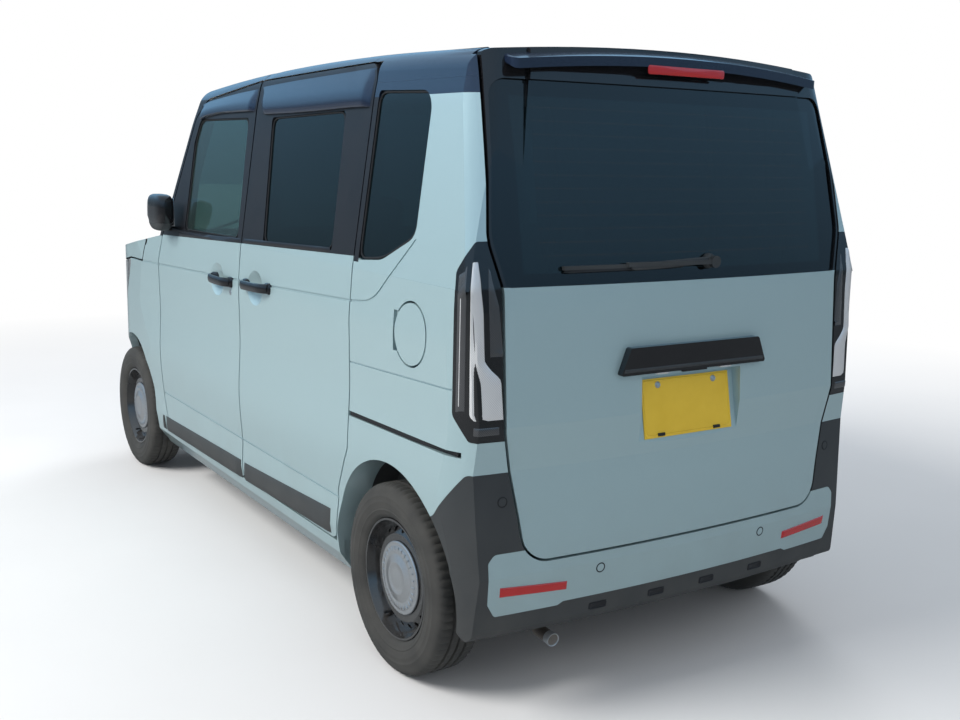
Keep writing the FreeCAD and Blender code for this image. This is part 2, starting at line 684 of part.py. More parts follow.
# Front bumper, grille and headlamps
bumper = NOSE_SHELL.common(side_prism(BUMPER_EDGE, -HALF_SEAM, -900, 900))
INTAKE = both_halves([(430.0, 300.0, 40.0), (400.0, 430.0, 40.0)])
bumper = bumper.cut(end_prism(INTAKE, 0, 1600, 1800))
bumper = bumper.cut(FRONT_ARCH).cut(mirrored(FRONT_ARCH))
save("front_bumper", bumper)
GRILLE_HALF = 345.0
lamp = SHELL.common(side_prism(HEADLAMP_EDGE, -HALF_SEAM, GRILLE_HALF + SEAM))
lamp = lamp.cut(side_prism(BONNET_EDGE, HALF_HINGE, 0))
save("headlamps", both_sides(lamp))
grille = SHELL.common(side_prism(HEADLAMP_EDGE, -HALF_SEAM, -GRILLE_HALF, GRILLE_HALF))
grille = grille.cut(side_prism(BONNET_EDGE, HALF_HINGE, -900, 900)).cut(block(0, 1600, -900, 900, 0, 2000))
for k in range(4):
    z = 790.0 + 34.0 * k
    grille = grille.cut(block(1500, 1800, -GRILLE_HALF + 30, GRILLE_HALF - 30, z, z + 20))
mesh = GLASS_OUT.cut(NOSE_IN).common(end_prism(INTAKE, -SEAT_GAP, 1600, 1800))
for k in range(4):
    z = 312.0 + 28.0 * k
    mesh = mesh.cut(block(1500, 1800, -360, 360, z, z + 15))
save("grille", Part.makeCompound([grille, mesh]))

# Tailgate with its window, plate recess and roof lip
tailgate = SHELL.common(tailgate_zone(-HALF_HINGE, -1480))
tailgate = tailgate.cut(OUTER.cut(GLASS_IN).common(end_prism(both_halves(TAILGATE_GLASS), 0, -1900, -1500)))
tailgate = tailgate.cut(end_prism(both_halves(TAILGATE_OPENING), 0, -1900, -1400))
PLATE_TILT = 11.0
PLATE_T = 3.0
PLATE_FOOT = V(-1684.0, 0, 700.0)
lean = tan(radians(PLATE_TILT))
recess = side_prism([(-1800, 700, 0), (PLATE_FOOT.x, 700, 0), (PLATE_FOOT.x + 200 * lean, 900, 8), (-1800, 900, 0)],
                    0, -186, 186)
tailgate = tailgate.cut(recess)
x, level = TAILGATE_HINGE
tailgate = tailgate.cut(rolled_edge(x, level, TAILGATE_ROLL, -900, 900))
for y in (420, -420):
    tailgate = tailgate.cut(block(x - 13, x + 60, y - 11, y + 11, level - 70, level + EYE_R + 0.4))
    tailgate = tailgate.cut(tube(V(x, y - 22, level), V(x, y + 22, level), PIN_R + PIN_CLEARANCE))
save("tailgate", tailgate)
save("tailgate_glass", GLASS.common(end_prism(both_halves(TAILGATE_GLASS), -SEAT_GAP, -1900, -1500)))
SPOILER_T = 24.0
SPOILER_X = -1530.0
SPOILER_END = (556.0, 1735.0)
SPOILER_PEAK_Z = 1802.0
camber = both_halves([(SPOILER_END[0], SPOILER_END[1] - SPOILER_T, 8.0), (SPOILER_END[0], SPOILER_END[1], 8.0)])
half = len(camber) // 2
camber = camber[:half] + [(0.0, SPOILER_PEAK_Z, 4300.0)] + camber[half:] + [(0.0, SPOILER_PEAK_Z - SPOILER_T, 4300.0)]
spoiler = end_prism(camber, 0, -110, 10)
spoiler.rotate(V(0, 0, HEIGHT - 15), V(0, 1, 0), -16.7)
spoiler.translate(V(SPOILER_X, 0, 0))
spoiler = spoiler.common(plan_prism([(-1480, -560, 0), (-1566, -552, 22), (-1618, 0, 5400), (-1566, 552, 22),
                                     (-1480, 560, 0)], 0, 1600, 1900))
save("spoiler", spoiler.cut(OUTER))
garnish = end_prism(both_halves([(272.0, 910.0, 6.0), (240.0, 985.0, 10.0)]), 0, -1696.5, -1660)
save("garnish", garnish.cut(OUTER))
plate = Part.makeBox(PLATE_T, 330.0, 165.0, V(-PLATE_T, -165.0, 22.0))
plate.rotate(V(0, 0, 0), V(0, 1, 0), PLATE_TILT)
plate.translate(PLATE_FOOT)
save("number_plate", plate)
wiper = tube(V(-1640, -64, 1205), V(-1684, -64, 1205), 17)
arm = plan_prism([(-1674, -60, 0), (-1657, 240, 0), (-1669, 240, 0), (-1683, -60, 0)], 0, 1199, 1211)
blade = plan_prism([(-1655.6, 60, 0), (-1639.8, 440, 0), (-1652, 440, 0), (-1668, 60, 0)], 0, 1196, 1206)
save("rear_wiper", wiper.fuse(arm).fuse(blade).cut(GLASS_OUT))

# Tail lamps, rear bumper insert and the dark skirt with its corners
lamp = SHELL.common(lamp_zone(-HALF_SEAM)).cut(block(-2000, 0, -900, 480, 0, 2000))
lamp = lamp.cut(tailgate_zone(HALF_HINGE, -1400))
save("tail_lamps", both_sides(lamp))
INSERT = both_halves([(422.0, 302.0, 8.0), (440.0, 293.0, 8.0), (634.0, 293.0, 12.0), (656.0, 330.0, 12.0),
                      (658.0, 445.0, 12.0), (640.0, 466.0, 20.0)])
rear_zone = SHELL.common(side_prism(REAR_BUMPER_EDGE, -HALF_SEAM, -900, 900))
rear_zone = rear_zone.cut(REAR_ARCH).cut(mirrored(REAR_ARCH)).cut(block(-1600, 0, -560, 560, 0, 1000))
rear_zone = rear_zone.cut(tailgate_zone(HALF_PANEL, -1400))
insert_zone = end_prism(INSERT, 0, -1900, -1560)
save("rear_bumper", rear_zone.common(insert_zone))
skirt = rear_zone.cut(end_prism(INSERT, SEAM, -1900, -1560))
PIPE_BEND = V(-1592, 440, 192)
PIPE_END = V(-1660, 440, 188)
PIPE_ROOM = 24.0
skirt = skirt.cut(tube(V(-1560, 440, 300), PIPE_BEND, PIPE_ROOM)).cut(tube(PIPE_BEND, PIPE_END, PIPE_ROOM))
skirt = skirt.cut(Part.makeSphere(PIPE_ROOM, PIPE_BEND))
save("rear_skirt", skirt)

# Wheel housings
front_liner = tube(V(FRONT_AXLE_X, 412, AXLE_Z), V(FRONT_AXLE_X, 700, AXLE_Z), LINER_R + LINER_T, LINER_R)
front_liner = front_liner.fuse(tube(V(FRONT_AXLE_X, 408, AXLE_Z), V(FRONT_AXLE_X, 412, AXLE_Z), LINER_R + LINER_T))
front_liner = front_liner.cut(block(0, 2000, 0, 900, 0, 262))
front_liner = front_liner.cut(tube(V(FRONT_AXLE_X, 525, 400), V(FRONT_AXLE_X, 525, 800), 84))
front_liner = front_liner.common(NOSE_IN)
rear_liner = tube(V(REAR_AXLE_X, 545, AXLE_Z), V(REAR_AXLE_X, 640, AXLE_Z), LINER_R + LINER_T, LINER_R)
rear_liner = rear_liner.fuse(tube(V(REAR_AXLE_X, 541, AXLE_Z), V(REAR_AXLE_X, 545, AXLE_Z), LINER_R + LINER_T))
rear_liner = rear_liner.cut(block(-2000, 0, 0, 900, 0, 262)).common(CABIN)
rear_liner = rear_liner.cut(tube(V(REAR_AXLE_X, 500, AXLE_Z), V(REAR_AXLE_X, 570, AXLE_Z), 120))
save("arch_liners", both_sides(Part.makeCompound([front_liner, rear_liner])))

# Floor with the firewall and the raised load floor
FIREWALL_X = 895.0
REAR_END_X = -1596.0
floor = side_prism([
    (REAR_END_X, REAR_FLOOR_Z, 0), (REAR_FLOOR_X - FLOOR_T, REAR_FLOOR_Z, 0), (REAR_FLOOR_X - FLOOR_T, FLOOR_Z, 0),
    (FIREWALL_X, FLOOR_Z, 0), (FIREWALL_X, 1100, 0), (FIREWALL_X - FLOOR_T, 1100, 0),
    (FIREWALL_X - FLOOR_T, FLOOR_Z + FLOOR_T, 0),
    (REAR_FLOOR_X, FLOOR_Z + FLOOR_T, 0), (REAR_FLOOR_X, REAR_FLOOR_Z + FLOOR_T, 0),
    (REAR_END_X, REAR_FLOOR_Z + FLOOR_T, 0)], 0, -640, 640)
for x0, x1, y0, z0, z1 in ((-1700, -850, 540.7, 0, 700), (-900, 900, 559.7, 0, DOOR_BOTTOM_Z - 5)):
    wing = block(x0, x1, y0, 700, z0, z1)
    floor = floor.cut(wing).cut(mirrored(wing))
for x0, x1, y0 in ((-900, 865, 559.7), (865, 900, 636.0)):
    wing = block(x0, x1, y0, 700, 0, 1200)
    floor = floor.cut(wing).cut(mirrored(wing))
floor = floor.cut(block(700, 1000, -700, 700, 700, 1200).cut(CABIN))
for arm in bonnet_arms:
    floor = floor.fuse(arm)
save("floor_pan", floor)

# Cabin fittings
dash = side_prism([(872.7, 640, 0), (872.7, 1050, 20), (700, 1062, 60), (560, 1010, 60), (575, 820, 60),
                   (660, 640, 40)], 0, -618, 618)
WHEEL_CENTRE = V(470.0, -345.0, 965.0)
COLUMN = V(cos(radians(28)), 0, -sin(radians(28)))
column = tube(WHEEL_CENTRE + COLUMN * 46, WHEEL_CENTRE + COLUMN * 260, 32)
dash = dash.fuse(column).common(CABIN)
post_room = block(POST_X - 1, 900, POST_Y - 1, 700, 0, 1200)
dash = dash.cut(post_room).cut(mirrored(post_room))
save("dashboard", dash.cut(tube(WHEEL_CENTRE, WHEEL_CENTRE + COLUMN * 101, 10 + PIN_CLEARANCE)))
ring = Part.makeTorus(178, 14, WHEEL_CENTRE, COLUMN)
hub = tube(WHEEL_CENTRE + COLUMN * 4, WHEEL_CENTRE + COLUMN * 40, 45)
hub = hub.fuse(tube(WHEEL_CENTRE + COLUMN * 30, WHEEL_CENTRE + COLUMN * 100, 10))
spokes = block(-8, 8, -172, 172, -15, 15).fuse(block(-8, 8, -17, 17, -172, 0))
spokes.rotate(V(0, 0, 0), V(0, 1, 0), 28)
spokes.translate(WHEEL_CENTRE + COLUMN * 12)
save("steering_wheel", ring.fuse(hub).fuse(spokes))


def seat(x, y0, y1, cushion_z, back_top, head_top, floor_z):
    wide = y1 - y0
    cushion = side_prism([(x - 20, cushion_z - 150, 30), (x + 480, cushion_z - 130, 40),
                          (x + 490, cushion_z + 10, 60), (x - 20, cushion_z - 10, 20)], 0, y0, y1)
    back = side_prism([(x - 15, cushion_z - 60, 20), (x + 110, cushion_z - 60, 20),
                       (x - 40, back_top, 50), (x - 150, back_top, 40)], 0, y0, y1)
    head = side_prism([(x - 145, back_top + 25, 20), (x - 60, back_top + 25, 20),
                       (x - 85, head_top, 35), (x - 160, head_top, 30)], 0, y0 + wide * 0.25, y1 - wide * 0.25)
    post = block(x - 110, x - 92, y0 + wide * 0.4, y1 - wide * 0.4, back_top - 30, back_top + 60)
    base = block(x + 20, x + 440, y0 + 40, y1 - 40, floor_z, cushion_z - 100)
    return cushion.fuse(back).fuse(head).fuse(post).fuse(base)


save("front_seats", both_sides(seat(-170, 45, 520, 590, 1150, 1330, FLOOR_Z + FLOOR_T)))
bench = seat(-1000, 4, 530, 620, 1130, 1290, REAR_FLOOR_Z + FLOOR_T)
bench = bench.fuse(block(-780, -560, 44, 490, FLOOR_Z + FLOOR_T, 540))
bench = [bench, mirrored(bench)]
save("rear_seat", Part.makeCompound(bench))

# Drive line and chassis
engine = block(1010, 1450, -340, 340, 262, 740)
save("engine_block", engine)
tank = block(-330, 330, -330, 330, 152, FLOOR_Z)
save("fuel_tank", tank)
pipe = tube(V(1120, 200, 150 + 65), V(980, 370, 205), 22).fuse(tube(V(980, 370, 205), V(-980, 370, 205), 22))
pipe = pipe.fuse(tube(V(-980, 370, 205), V(-1010, 370, 340), 22))
pipe = pipe.fuse(tube(V(-1010, 370, 340), V(-1400, 370, 340), 22))
muffler = block(-1590, -1400, 60, 500, 275, 385)
PIPE_R = 18.0
tail_pipe = tube(V(-1560, 440, 300), PIPE_BEND, PIPE_R).fuse(tube(PIPE_BEND, PIPE_END, PIPE_R))
save("exhaust", pipe.fuse(muffler).fuse(tail_pipe.fuse(Part.makeSphere(PIPE_R, PIPE_BEND))))

KINGPIN_TOP = V(FRONT_AXLE_X, 520.0, 830.0)
KINGPIN_BALL = V(FRONT_AXLE_X, 632.0, 175.0)
BALL_R = 14.0
cross = block(1150, 1380, -402, 402, 180, 261.7)
for side in (1, -1):
    y0, y1 = min(side * 345.3, side * 402), max(side * 345.3, side * 402)
    cross = cross.fuse(block(1210, 1320, y0, y1, 250, 400)).fuse(block(FIREWALL_X + 0.3, 1600, y0, y1, 330, 400))
arms = []
towers = []
for side in (1, -1):
    arm = plan_prism([(FRONT_AXLE_X - 120, side * 280, 0), (FRONT_AXLE_X - 22, side * 655, 20),
                      (FRONT_AXLE_X + 22, side * 655, 20), (FRONT_AXLE_X + 60, side * 280, 0)], 0, 160, 172)
    ball = V(KINGPIN_BALL.x, side * KINGPIN_BALL.y, KINGPIN_BALL.z)
    arm = arm.fuse(Part.makeSphere(BALL_R, ball))
    arms.append(arm.fuse(block(1150, 1380, min(side * 270, side * 300), max(side * 270, side * 300), 160, 182)))
    top = V(FRONT_AXLE_X, side * 520, 832)
    plate = tube(top, top + V(0, 0, 14), 78)
    towers.append(plate.fuse(block(FRONT_AXLE_X - 60, FRONT_AXLE_X + 60, min(side * 560, side * 720),
                                   max(side * 560, side * 720), 832, 846)).common(NOSE_IN))
    low = V(FRONT_AXLE_X, side * KINGPIN_BALL.y, KINGPIN_BALL.z)
    high = V(FRONT_AXLE_X, side * KINGPIN_TOP.y, KINGPIN_TOP.z)
    towers[-1] = towers[-1].cut(tube(low, high + (high - low) * 0.1, 8 + PIN_CLEARANCE))
chassis = cross
for part in arms:
    chassis = chassis.fuse(part)
save("front_subframe", chassis)
save("strut_towers", Part.makeCompound(towers))

hub_in = FRONT_AXLE_X
knuckle = tube(V(hub_in, 596, AXLE_Z), V(hub_in, 640, AXLE_Z), 52)
knuckle = knuckle.fuse(tube(V(hub_in, 636, AXLE_Z), V(hub_in, 664, AXLE_Z), 28))
knuckle = knuckle.fuse(block(hub_in - 20, hub_in + 20, 606, 640, 178, AXLE_Z))
knuckle = knuckle.fuse(block(hub_in - 25, hub_in + 25, 530, 600, 300, 330).fuse(
    block(hub_in - 25, hub_in + 25, 505, 560, 310, 420)))
knuckle = knuckle.cut(Part.makeSphere(BALL_R + PIN_CLEARANCE, KINGPIN_BALL))
strut = tube(V(hub_in, 536, 380), V(hub_in, 521, 826), 22)
rod_dir = (KINGPIN_TOP - KINGPIN_BALL).normalize()
strut = strut.fuse(tube(KINGPIN_TOP - rod_dir * 12, KINGPIN_TOP + rod_dir * 15, 8))
strut = strut.fuse(tube(V(hub_in, 527, 640), V(hub_in, 526, 650), 66))
knuckle = knuckle.fuse(strut)
save_pair("knuckle", knuckle)

# Rear torsion beam with trailing arms, springs and brake drums
axle = tube(V(-1150, -470, 262), V(-1150, 470, 262), 34)
for side in (1, -1):
    axle = axle.fuse(tube(V(-880, side * 430, 300), V(REAR_AXLE_X, side * 490, 270), 26))
    axle = axle.fuse(tube(V(REAR_AXLE_X, side * 470, AXLE_Z), V(REAR_AXLE_X, side * 600, AXLE_Z), 34))
    axle = axle.fuse(tube(V(REAR_AXLE_X, side * 585, AXLE_Z), V(REAR_AXLE_X, side * 640, AXLE_Z), 100))
    axle = axle.fuse(tube(V(REAR_AXLE_X, side * 636, AXLE_Z), V(REAR_AXLE_X, side * 664, AXLE_Z), 28))
    axle = axle.fuse(tube(V(REAR_AXLE_X + 30, side * 470, 262), V(REAR_AXLE_X + 30, side * 470, 399.7), 45))
    axle = axle.fuse(tube(V(-880, side * 430, 300), V(-822.3, side * 430, 300), 36))
save("rear_axle", axle)


def revolved(points, x, side):
    """Ring about a wheel's axle from (radius, offset) corners; the offset grows outboard."""
    place = lambda p: V(x, side * (HALF_TRACK + p.y), AXLE_Z + p.x)
    wire = rounded_wire([(r, o, 0) for r, o in points], place)
    return Part.Face(wire).revolve(V(x, 0, AXLE_Z), V(0, 1, 0), 360)


TYRE = [(RIM_R - 1.7, -58), (225, -TYRE_W / 2), (262, -72), (TYRE_R, -48),
        (TYRE_R, 48), (262, 72), (225, TYRE_W / 2), (RIM_R - 1.7, 58)]
RIM = [(RIM_R - 2, 62), (RIM_R - 2, -62), (RIM_R - 8, -62), (RIM_R - 20, -20), (RIM_R - 20, 14), (150, 16),
       (128, 30), (95, 28), (80, 2), (28.3, 2), (28.3, 14), (76, 14), (88, 37), (128, 39), (152, 26),
       (RIM_R - 20, 24), (RIM_R - 8, 62)]
HOLES = 20
for end, x in (("front", FRONT_AXLE_X), ("rear", REAR_AXLE_X)):
    for side, side_name in ((1, "left"), (-1, "right")):
        save("tyre_" + end + "_" + side_name, revolved(TYRE, x, side))
        rim = revolved(RIM, x, side)
        rim = rim.cut(Part.makeCompound([
            tube(V(x + 141 * cos(2 * pi * k / HOLES), side * 640, AXLE_Z + 141 * sin(2 * pi * k / HOLES)),
                 V(x + 141 * cos(2 * pi * k / HOLES), side * 710, AXLE_Z + 141 * sin(2 * pi * k / HOLES)), 8)
            for k in range(HOLES)]))
        save("wheel_" + end + "_" + side_name, rim)

# Roof aerial
AERIAL = V(-1330.0, -330.0, 1752.0)
base = Part.makeCone(20, 10, 42, AERIAL, V(0, 0, 1))
under_roof = upper_tube(0.0).common(block(AERIAL.x - 50, AERIAL.x + 50, AERIAL.y - 50, AERIAL.y + 50, 1700, 1900))
save("antenna", base.cut(under_roof))
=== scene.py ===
# %% [markdown]
# A small town car with a tall cabin, seen from its left rear corner. The solids come ready made: body
# panels, doors, lids, glass, wheels, seats and running gear, each on the moving body that carries it. This
# lesson dresses them. It gives each solid its finish, and adds what is pressed, moulded, sewn or screwed
# on: handles, mouldings, lamps, tread, padded seats. Everything is in metres, in the frame of the solids,
# with +X to the front of the car, +Y to its left and Z up.

# %% Bring in the frame
import bmesh
import bpy
import json
import math
from mathutils import Matrix, Vector
from mathutils.bvhtree import BVHTree


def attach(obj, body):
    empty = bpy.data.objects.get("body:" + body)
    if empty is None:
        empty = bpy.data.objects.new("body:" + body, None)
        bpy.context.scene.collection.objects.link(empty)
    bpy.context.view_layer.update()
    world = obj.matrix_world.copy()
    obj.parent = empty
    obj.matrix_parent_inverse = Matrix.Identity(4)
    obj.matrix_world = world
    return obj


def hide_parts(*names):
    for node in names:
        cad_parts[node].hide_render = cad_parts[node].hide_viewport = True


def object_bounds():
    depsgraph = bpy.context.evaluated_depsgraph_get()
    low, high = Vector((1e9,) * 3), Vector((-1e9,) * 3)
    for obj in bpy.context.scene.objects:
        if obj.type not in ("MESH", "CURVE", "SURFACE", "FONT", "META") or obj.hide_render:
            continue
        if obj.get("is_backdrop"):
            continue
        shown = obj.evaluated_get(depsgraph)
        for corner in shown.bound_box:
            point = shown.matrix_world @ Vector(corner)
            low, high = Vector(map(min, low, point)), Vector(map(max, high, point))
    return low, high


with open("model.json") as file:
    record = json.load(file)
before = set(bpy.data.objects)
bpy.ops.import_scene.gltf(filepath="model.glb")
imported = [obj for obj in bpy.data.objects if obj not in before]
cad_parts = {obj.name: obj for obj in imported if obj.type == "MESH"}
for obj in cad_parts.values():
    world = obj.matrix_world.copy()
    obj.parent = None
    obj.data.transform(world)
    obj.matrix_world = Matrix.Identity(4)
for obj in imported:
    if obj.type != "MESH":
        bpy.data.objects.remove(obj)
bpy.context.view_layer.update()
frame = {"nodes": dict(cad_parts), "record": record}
nodes = frame["nodes"]
slots = {row["node"]: row["material_slot"] for row in frame["record"]["subparts"]}
scene = bpy.context.scene

# %% [markdown]
# The camera stands where the photographer stood, a little above waist height behind the left rear corner.
# Its place came from lining up the wheels, the plate and the roof. It is made first, so that every later
# step can be looked at from there.

# %% Camera
FILM_WIDTH, FOCAL_LENGTH = 36.0, 42.32
STANDPOINT = (-3.9597, 2.1980, 1.4907)
ROLL, PITCH, HEADING = 0.0234502, 1.388505, -2.148534
view_data = bpy.data.cameras.new("camera")
view_data.sensor_width, view_data.lens = FILM_WIDTH, FOCAL_LENGTH
view_data.clip_start, view_data.clip_end = 0.05, 200
camera = bpy.data.objects.new("camera", view_data)
scene.collection.objects.link(camera)
turned = Matrix.Rotation(HEADING, 4, "Z") @ Matrix.Rotation(PITCH, 4, "X") @ Matrix.Rotation(ROLL, 4, "Z")
camera.matrix_world = Matrix.Translation(STANDPOINT) @ turned
scene.camera = camera
print("camera at", [round(v, 2) for v in camera.location])

# %% [markdown]
# Shader nodes can be wired by hand, but a material is easier to read as arithmetic. This class holds one
# output socket. Adding or multiplying two of them adds the node that does it, and `node` adds any other
# kind: its settings first, then what goes into its sockets.

# %% Shader arithmetic
def plug(socket, value):
    """Link a wire to a socket, or set the socket to a plain value."""
    if isinstance(value, Wire):
        socket.id_data.links.new(value.socket, socket)
    elif socket.type == "RGBA":
        socket.default_value = (*value[:3], 1)
    else:
        socket.default_value = value


def sign(operation, swapped=False):
    """The method behind one sign such as + or <, which adds the node that does it."""
    def method(self, other=0.0):
        first, second = (other, self) if swapped else (self, other)
        return self.maths(operation, first, second)
    return method


class Wire:
    """One output socket of a shader tree, with + - * and comparisons written as plain expressions."""

    def __init__(self, socket):
        self.socket = socket

    def node(self, kind, settings=None, sockets=None, out=0):
        made = self.socket.id_data.nodes.new(kind)
        for key, value in (settings or {}).items():
            setattr(made, key, value)
        for key, value in (sockets or {}).items():
            plug(made.inputs[key], value)
        return Wire(made.outputs[out])

    def maths(self, operation, first, second=0.0):
        values = [v for v in (first, second) if isinstance(v, Wire)]
        if all(v.socket.type == "VALUE" for v in values):
            return self.node("ShaderNodeMath", {"operation": operation}, {0: first, 1: second})
        first, second = [(v, v, v) if isinstance(v, (int, float)) else v for v in (first, second)]
        return self.node("ShaderNodeVectorMath", {"operation": operation}, {0: first, 1: second})

    __add__, __radd__ = sign("ADD"), sign("ADD", True)
    __sub__, __rsub__ = sign("SUBTRACT"), sign("SUBTRACT", True)
    __mul__, __rmul__ = sign("MULTIPLY"), sign("MULTIPLY", True)
    __gt__, __lt__, __abs__ = sign("GREATER_THAN"), sign("LESS_THAN"), sign("ABSOLUTE")

    def wave(self, length):
        """A number that rises and falls between -1 and 1 once in each length."""
        return self.maths("SINE", self * (2 * math.pi / length))

    def clear(self):
        """The same number, kept between 0 and 1."""
        return self.node("ShaderNodeClamp", None, {"Value": self})

    def parts(self):
        """The three numbers of a vector."""
        split = self.node("ShaderNodeSeparateXYZ", None, {0: self}).socket.node
        return [Wire(output) for output in split.outputs]

    def grain(self, scale, detail=2.0):
        """Cloudy noise of about one blot in each 1/scale metres, from 0 to 1."""
        return self.node("ShaderNodeTexNoise", None, {"Vector": self, "Scale": scale, "Detail": detail})

    def cells(self, scale):
        """The distance to the nearest of many scattered points, for pebbled plastic."""
        return self.node("ShaderNodeTexVoronoi", None, {"Vector": self, "Scale": scale})


def mixed(mask, under, top):
    """under where the mask is 0 and top where it is 1, for numbers and for colours."""
    if not isinstance(under, Wire) and not isinstance(top, Wire) and under == top:
        return under
    if any(isinstance(v, tuple) or isinstance(v, Wire) and v.socket.type == "RGBA" for v in (under, top)):
        return mask.node("ShaderNodeMix", {"data_type": "RGBA"}, {0: mask, 6: under, 7: top}, out=2)
    return mask.node("ShaderNodeMix", {"data_type": "FLOAT"}, {0: mask, 2: under, 3: top})


print("the wire class knows", len([n for n in vars(Wire) if not n.startswith("_")]), "named moves")

# %% [markdown]
# A finish is what a painter or moulder would name: its colour, how dull it is, whether it is metal, whether
# it is lacquered, and how rough its skin feels. Each finish below is worked out from the place on the car,
# so that flake, grain, weave and road dust have their true size on every piece.

# %% Finishes as recipes
DUST = (0.20, 0.185, 0.16)
DUST_TOP, DUST_FADE = 0.62, 1.6


def recipe(colour, dull, metal=0.0, lacquer=0.0, skin=0.0):
    return {"Base Color": colour, "Roughness": dull, "Metallic": metal, "Coat Weight": lacquer, "skin": skin}


def painted_over(mask, under, top):
    """One recipe under another, where the mask lets the top one show."""
    return {key: mixed(mask, under[key], top[key]) for key in under}


def dusted(place, colour, share):
    """A colour with road film on it, thicker towards the ground."""
    height = place.parts()[2]
    film = ((DUST_TOP - height) * DUST_FADE).clear() * place.grain(9) * share
    return mixed(film.clear(), colour, DUST)


def blue_paint(place):
    flake = place.grain(1400, 1)
    cloud = place.grain(1.7, 1)
    colour = mixed(flake, (0.305, 0.425, 0.450), (0.385, 0.525, 0.552))
    colour = mixed(cloud * 0.25, colour, (0.37, 0.50, 0.53))
    return recipe(dusted(place, colour, 0.45), 0.30 + flake * 0.12, 0.30, 1.0, place.grain(55, 1) * 0.00002)


def roof_paint(place):
    flake = place.grain(1500, 1)
    colour = mixed(flake, (0.006, 0.010, 0.024), (0.014, 0.024, 0.052))
    return recipe(colour, 0.22 + flake * 0.1, 0.1, 0.75, place.grain(55, 1) * 0.00002)


def speckled(noise, dark, light, dull, spread, metal, lacquer, skin, dust=0.0):
    """The recipe of a plain finish. One noise mixes its two shades and varies how dull it is. skin is the
    height of bumps that follow that noise, or the scale, detail and height of bumps of their own."""
    def made(place):
        fine = place.grain(*noise)
        colour = mixed(fine, dark, light)
        if dust:
            colour = dusted(place, colour, dust)
        bumps = place.grain(*skin[:2]) * skin[2] if isinstance(skin, tuple) else fine * skin
        return recipe(colour, dull + fine * spread if spread else dull, metal, lacquer, bumps)
    return made


def pebbled(dark, light, dull, size):
    """Moulded plastic with a pebbled skin, chalky where sun and dust have had it."""
    def made(place):
        cloud = place.grain(7, 4)
        colour = dusted(place, mixed(cloud, dark, light), 0.3)
        return recipe(colour, dull + cloud * 0.12, 0.0, 0.0, place.cells(size) * 0.0001)
    return made


piano_black = speckled((6, 3), (0.006, 0.006, 0.007), (0.014, 0.014, 0.016), 0.08, 0.07, 0.0, 0.35,
                       (40, 1, 0.00001))
sash_black = speckled((14, 4), (0.009, 0.009, 0.011), (0.018, 0.018, 0.021), 0.34, 0.14, 0.0, 0.1,
                      (900, 1, 0.00002))
rubber = speckled((260, 4), (0.010, 0.010, 0.011), (0.026, 0.026, 0.027), 0.6, 0.2, 0.0, 0.0, 0.0001)
bare_silver = speckled((300, 3), (0.46, 0.47, 0.48), (0.62, 0.63, 0.64), 0.30, 0.14, 0.85, 0.5, 0.00003)
cast_metal = speckled((420, 5), (0.11, 0.11, 0.112), (0.27, 0.265, 0.26), 0.45, 0.3, 0.8, 0.0, 0.0004)
hot_steel = speckled((16, 5), (0.13, 0.10, 0.08), (0.36, 0.33, 0.30), 0.38, 0.3, 0.85, 0.0, (500, 3, 0.0001))
plate_enamel = speckled((25, 3), (0.66, 0.43, 0.022), (0.75, 0.51, 0.040), 0.34, 0.16, 0.0, 0.3,
                        (320, 2, 0.00005))
wheel_enamel = speckled((150, 2), (0.010, 0.010, 0.011), (0.022, 0.022, 0.024), 0.12, 0.12, 0.0, 1.0, 0.00006,
                        dust=0.22)
undercoat = speckled((120, 4), (0.018, 0.018, 0.019), (0.045, 0.044, 0.043), 0.62, 0.25, 0.0, 0.0, 0.0008,
                     dust=1.1)
head_lining = speckled((1100, 3), (0.36, 0.35, 0.33), (0.50, 0.49, 0.46), 0.9, 0.0, 0.0, 0.0, 0.0003)
trim_plastic = pebbled((0.028, 0.031, 0.033), (0.050, 0.054, 0.056), 0.56, 700.0)
cabin_moulding = pebbled((0.035, 0.035, 0.038), (0.062, 0.061, 0.062), 0.55, 500.0)


def tread_rubber(place):
    """Tyre rubber, browner and duller where it has met the road."""
    fine = place.grain(180, 4)
    stain = place.grain(11, 3)
    colour = mixed(fine, (0.020, 0.020, 0.020), (0.038, 0.038, 0.037))
    return recipe(mixed((stain * 0.5).clear(), colour, (0.115, 0.110, 0.098)), 0.66 + fine * 0.22, 0.0, 0.0,
                  fine * 0.00025)


def woven_cloth(place):
    """Seat cloth: two sets of threads over and under, with a quiet darker fleck."""
    x, y, z = place.parts()
    thread = 0.0022
    warp = (x + z * 0.7).wave(thread)
    weft = y.wave(thread)
    weave = (warp * weft * 0.5 + 0.5).clear()
    fleck = place.grain(90, 3)
    colour = mixed(weave, (0.035, 0.034, 0.036), (0.105, 0.102, 0.104))
    return recipe(mixed((fleck * 0.7).clear(), colour, (0.055, 0.054, 0.058)), 0.92, 0.0, 0.0, weave * 0.0004)


print("finishes ready")

# %% [markdown]
# One material is one recipe put on a shader. Panels that carry several finishes, such as a door that is
# blue below, satin black round its window and moulded plastic inside, use the same recipes with masks
# between them. The masks are read from the place and the facing of the surface in its own solid, so they
# stay put when a door swings.

# %% Materials from recipes
def start(name):
    """A new material: its shader, the place on the car and the facing of the surface."""
    material = bpy.data.materials.new(name)
    material.use_nodes = True
    shader = material.node_tree.nodes["Principled BSDF"]
    spot = material.node_tree.nodes.new("ShaderNodeTexCoord")
    return material, shader, Wire(spot.outputs["Object"]), Wire(spot.outputs["Normal"])


def fill(shader, values):
    """Set sockets of a shader by their names."""
    for name, value in values.items():
        plug(shader.inputs[name], value)


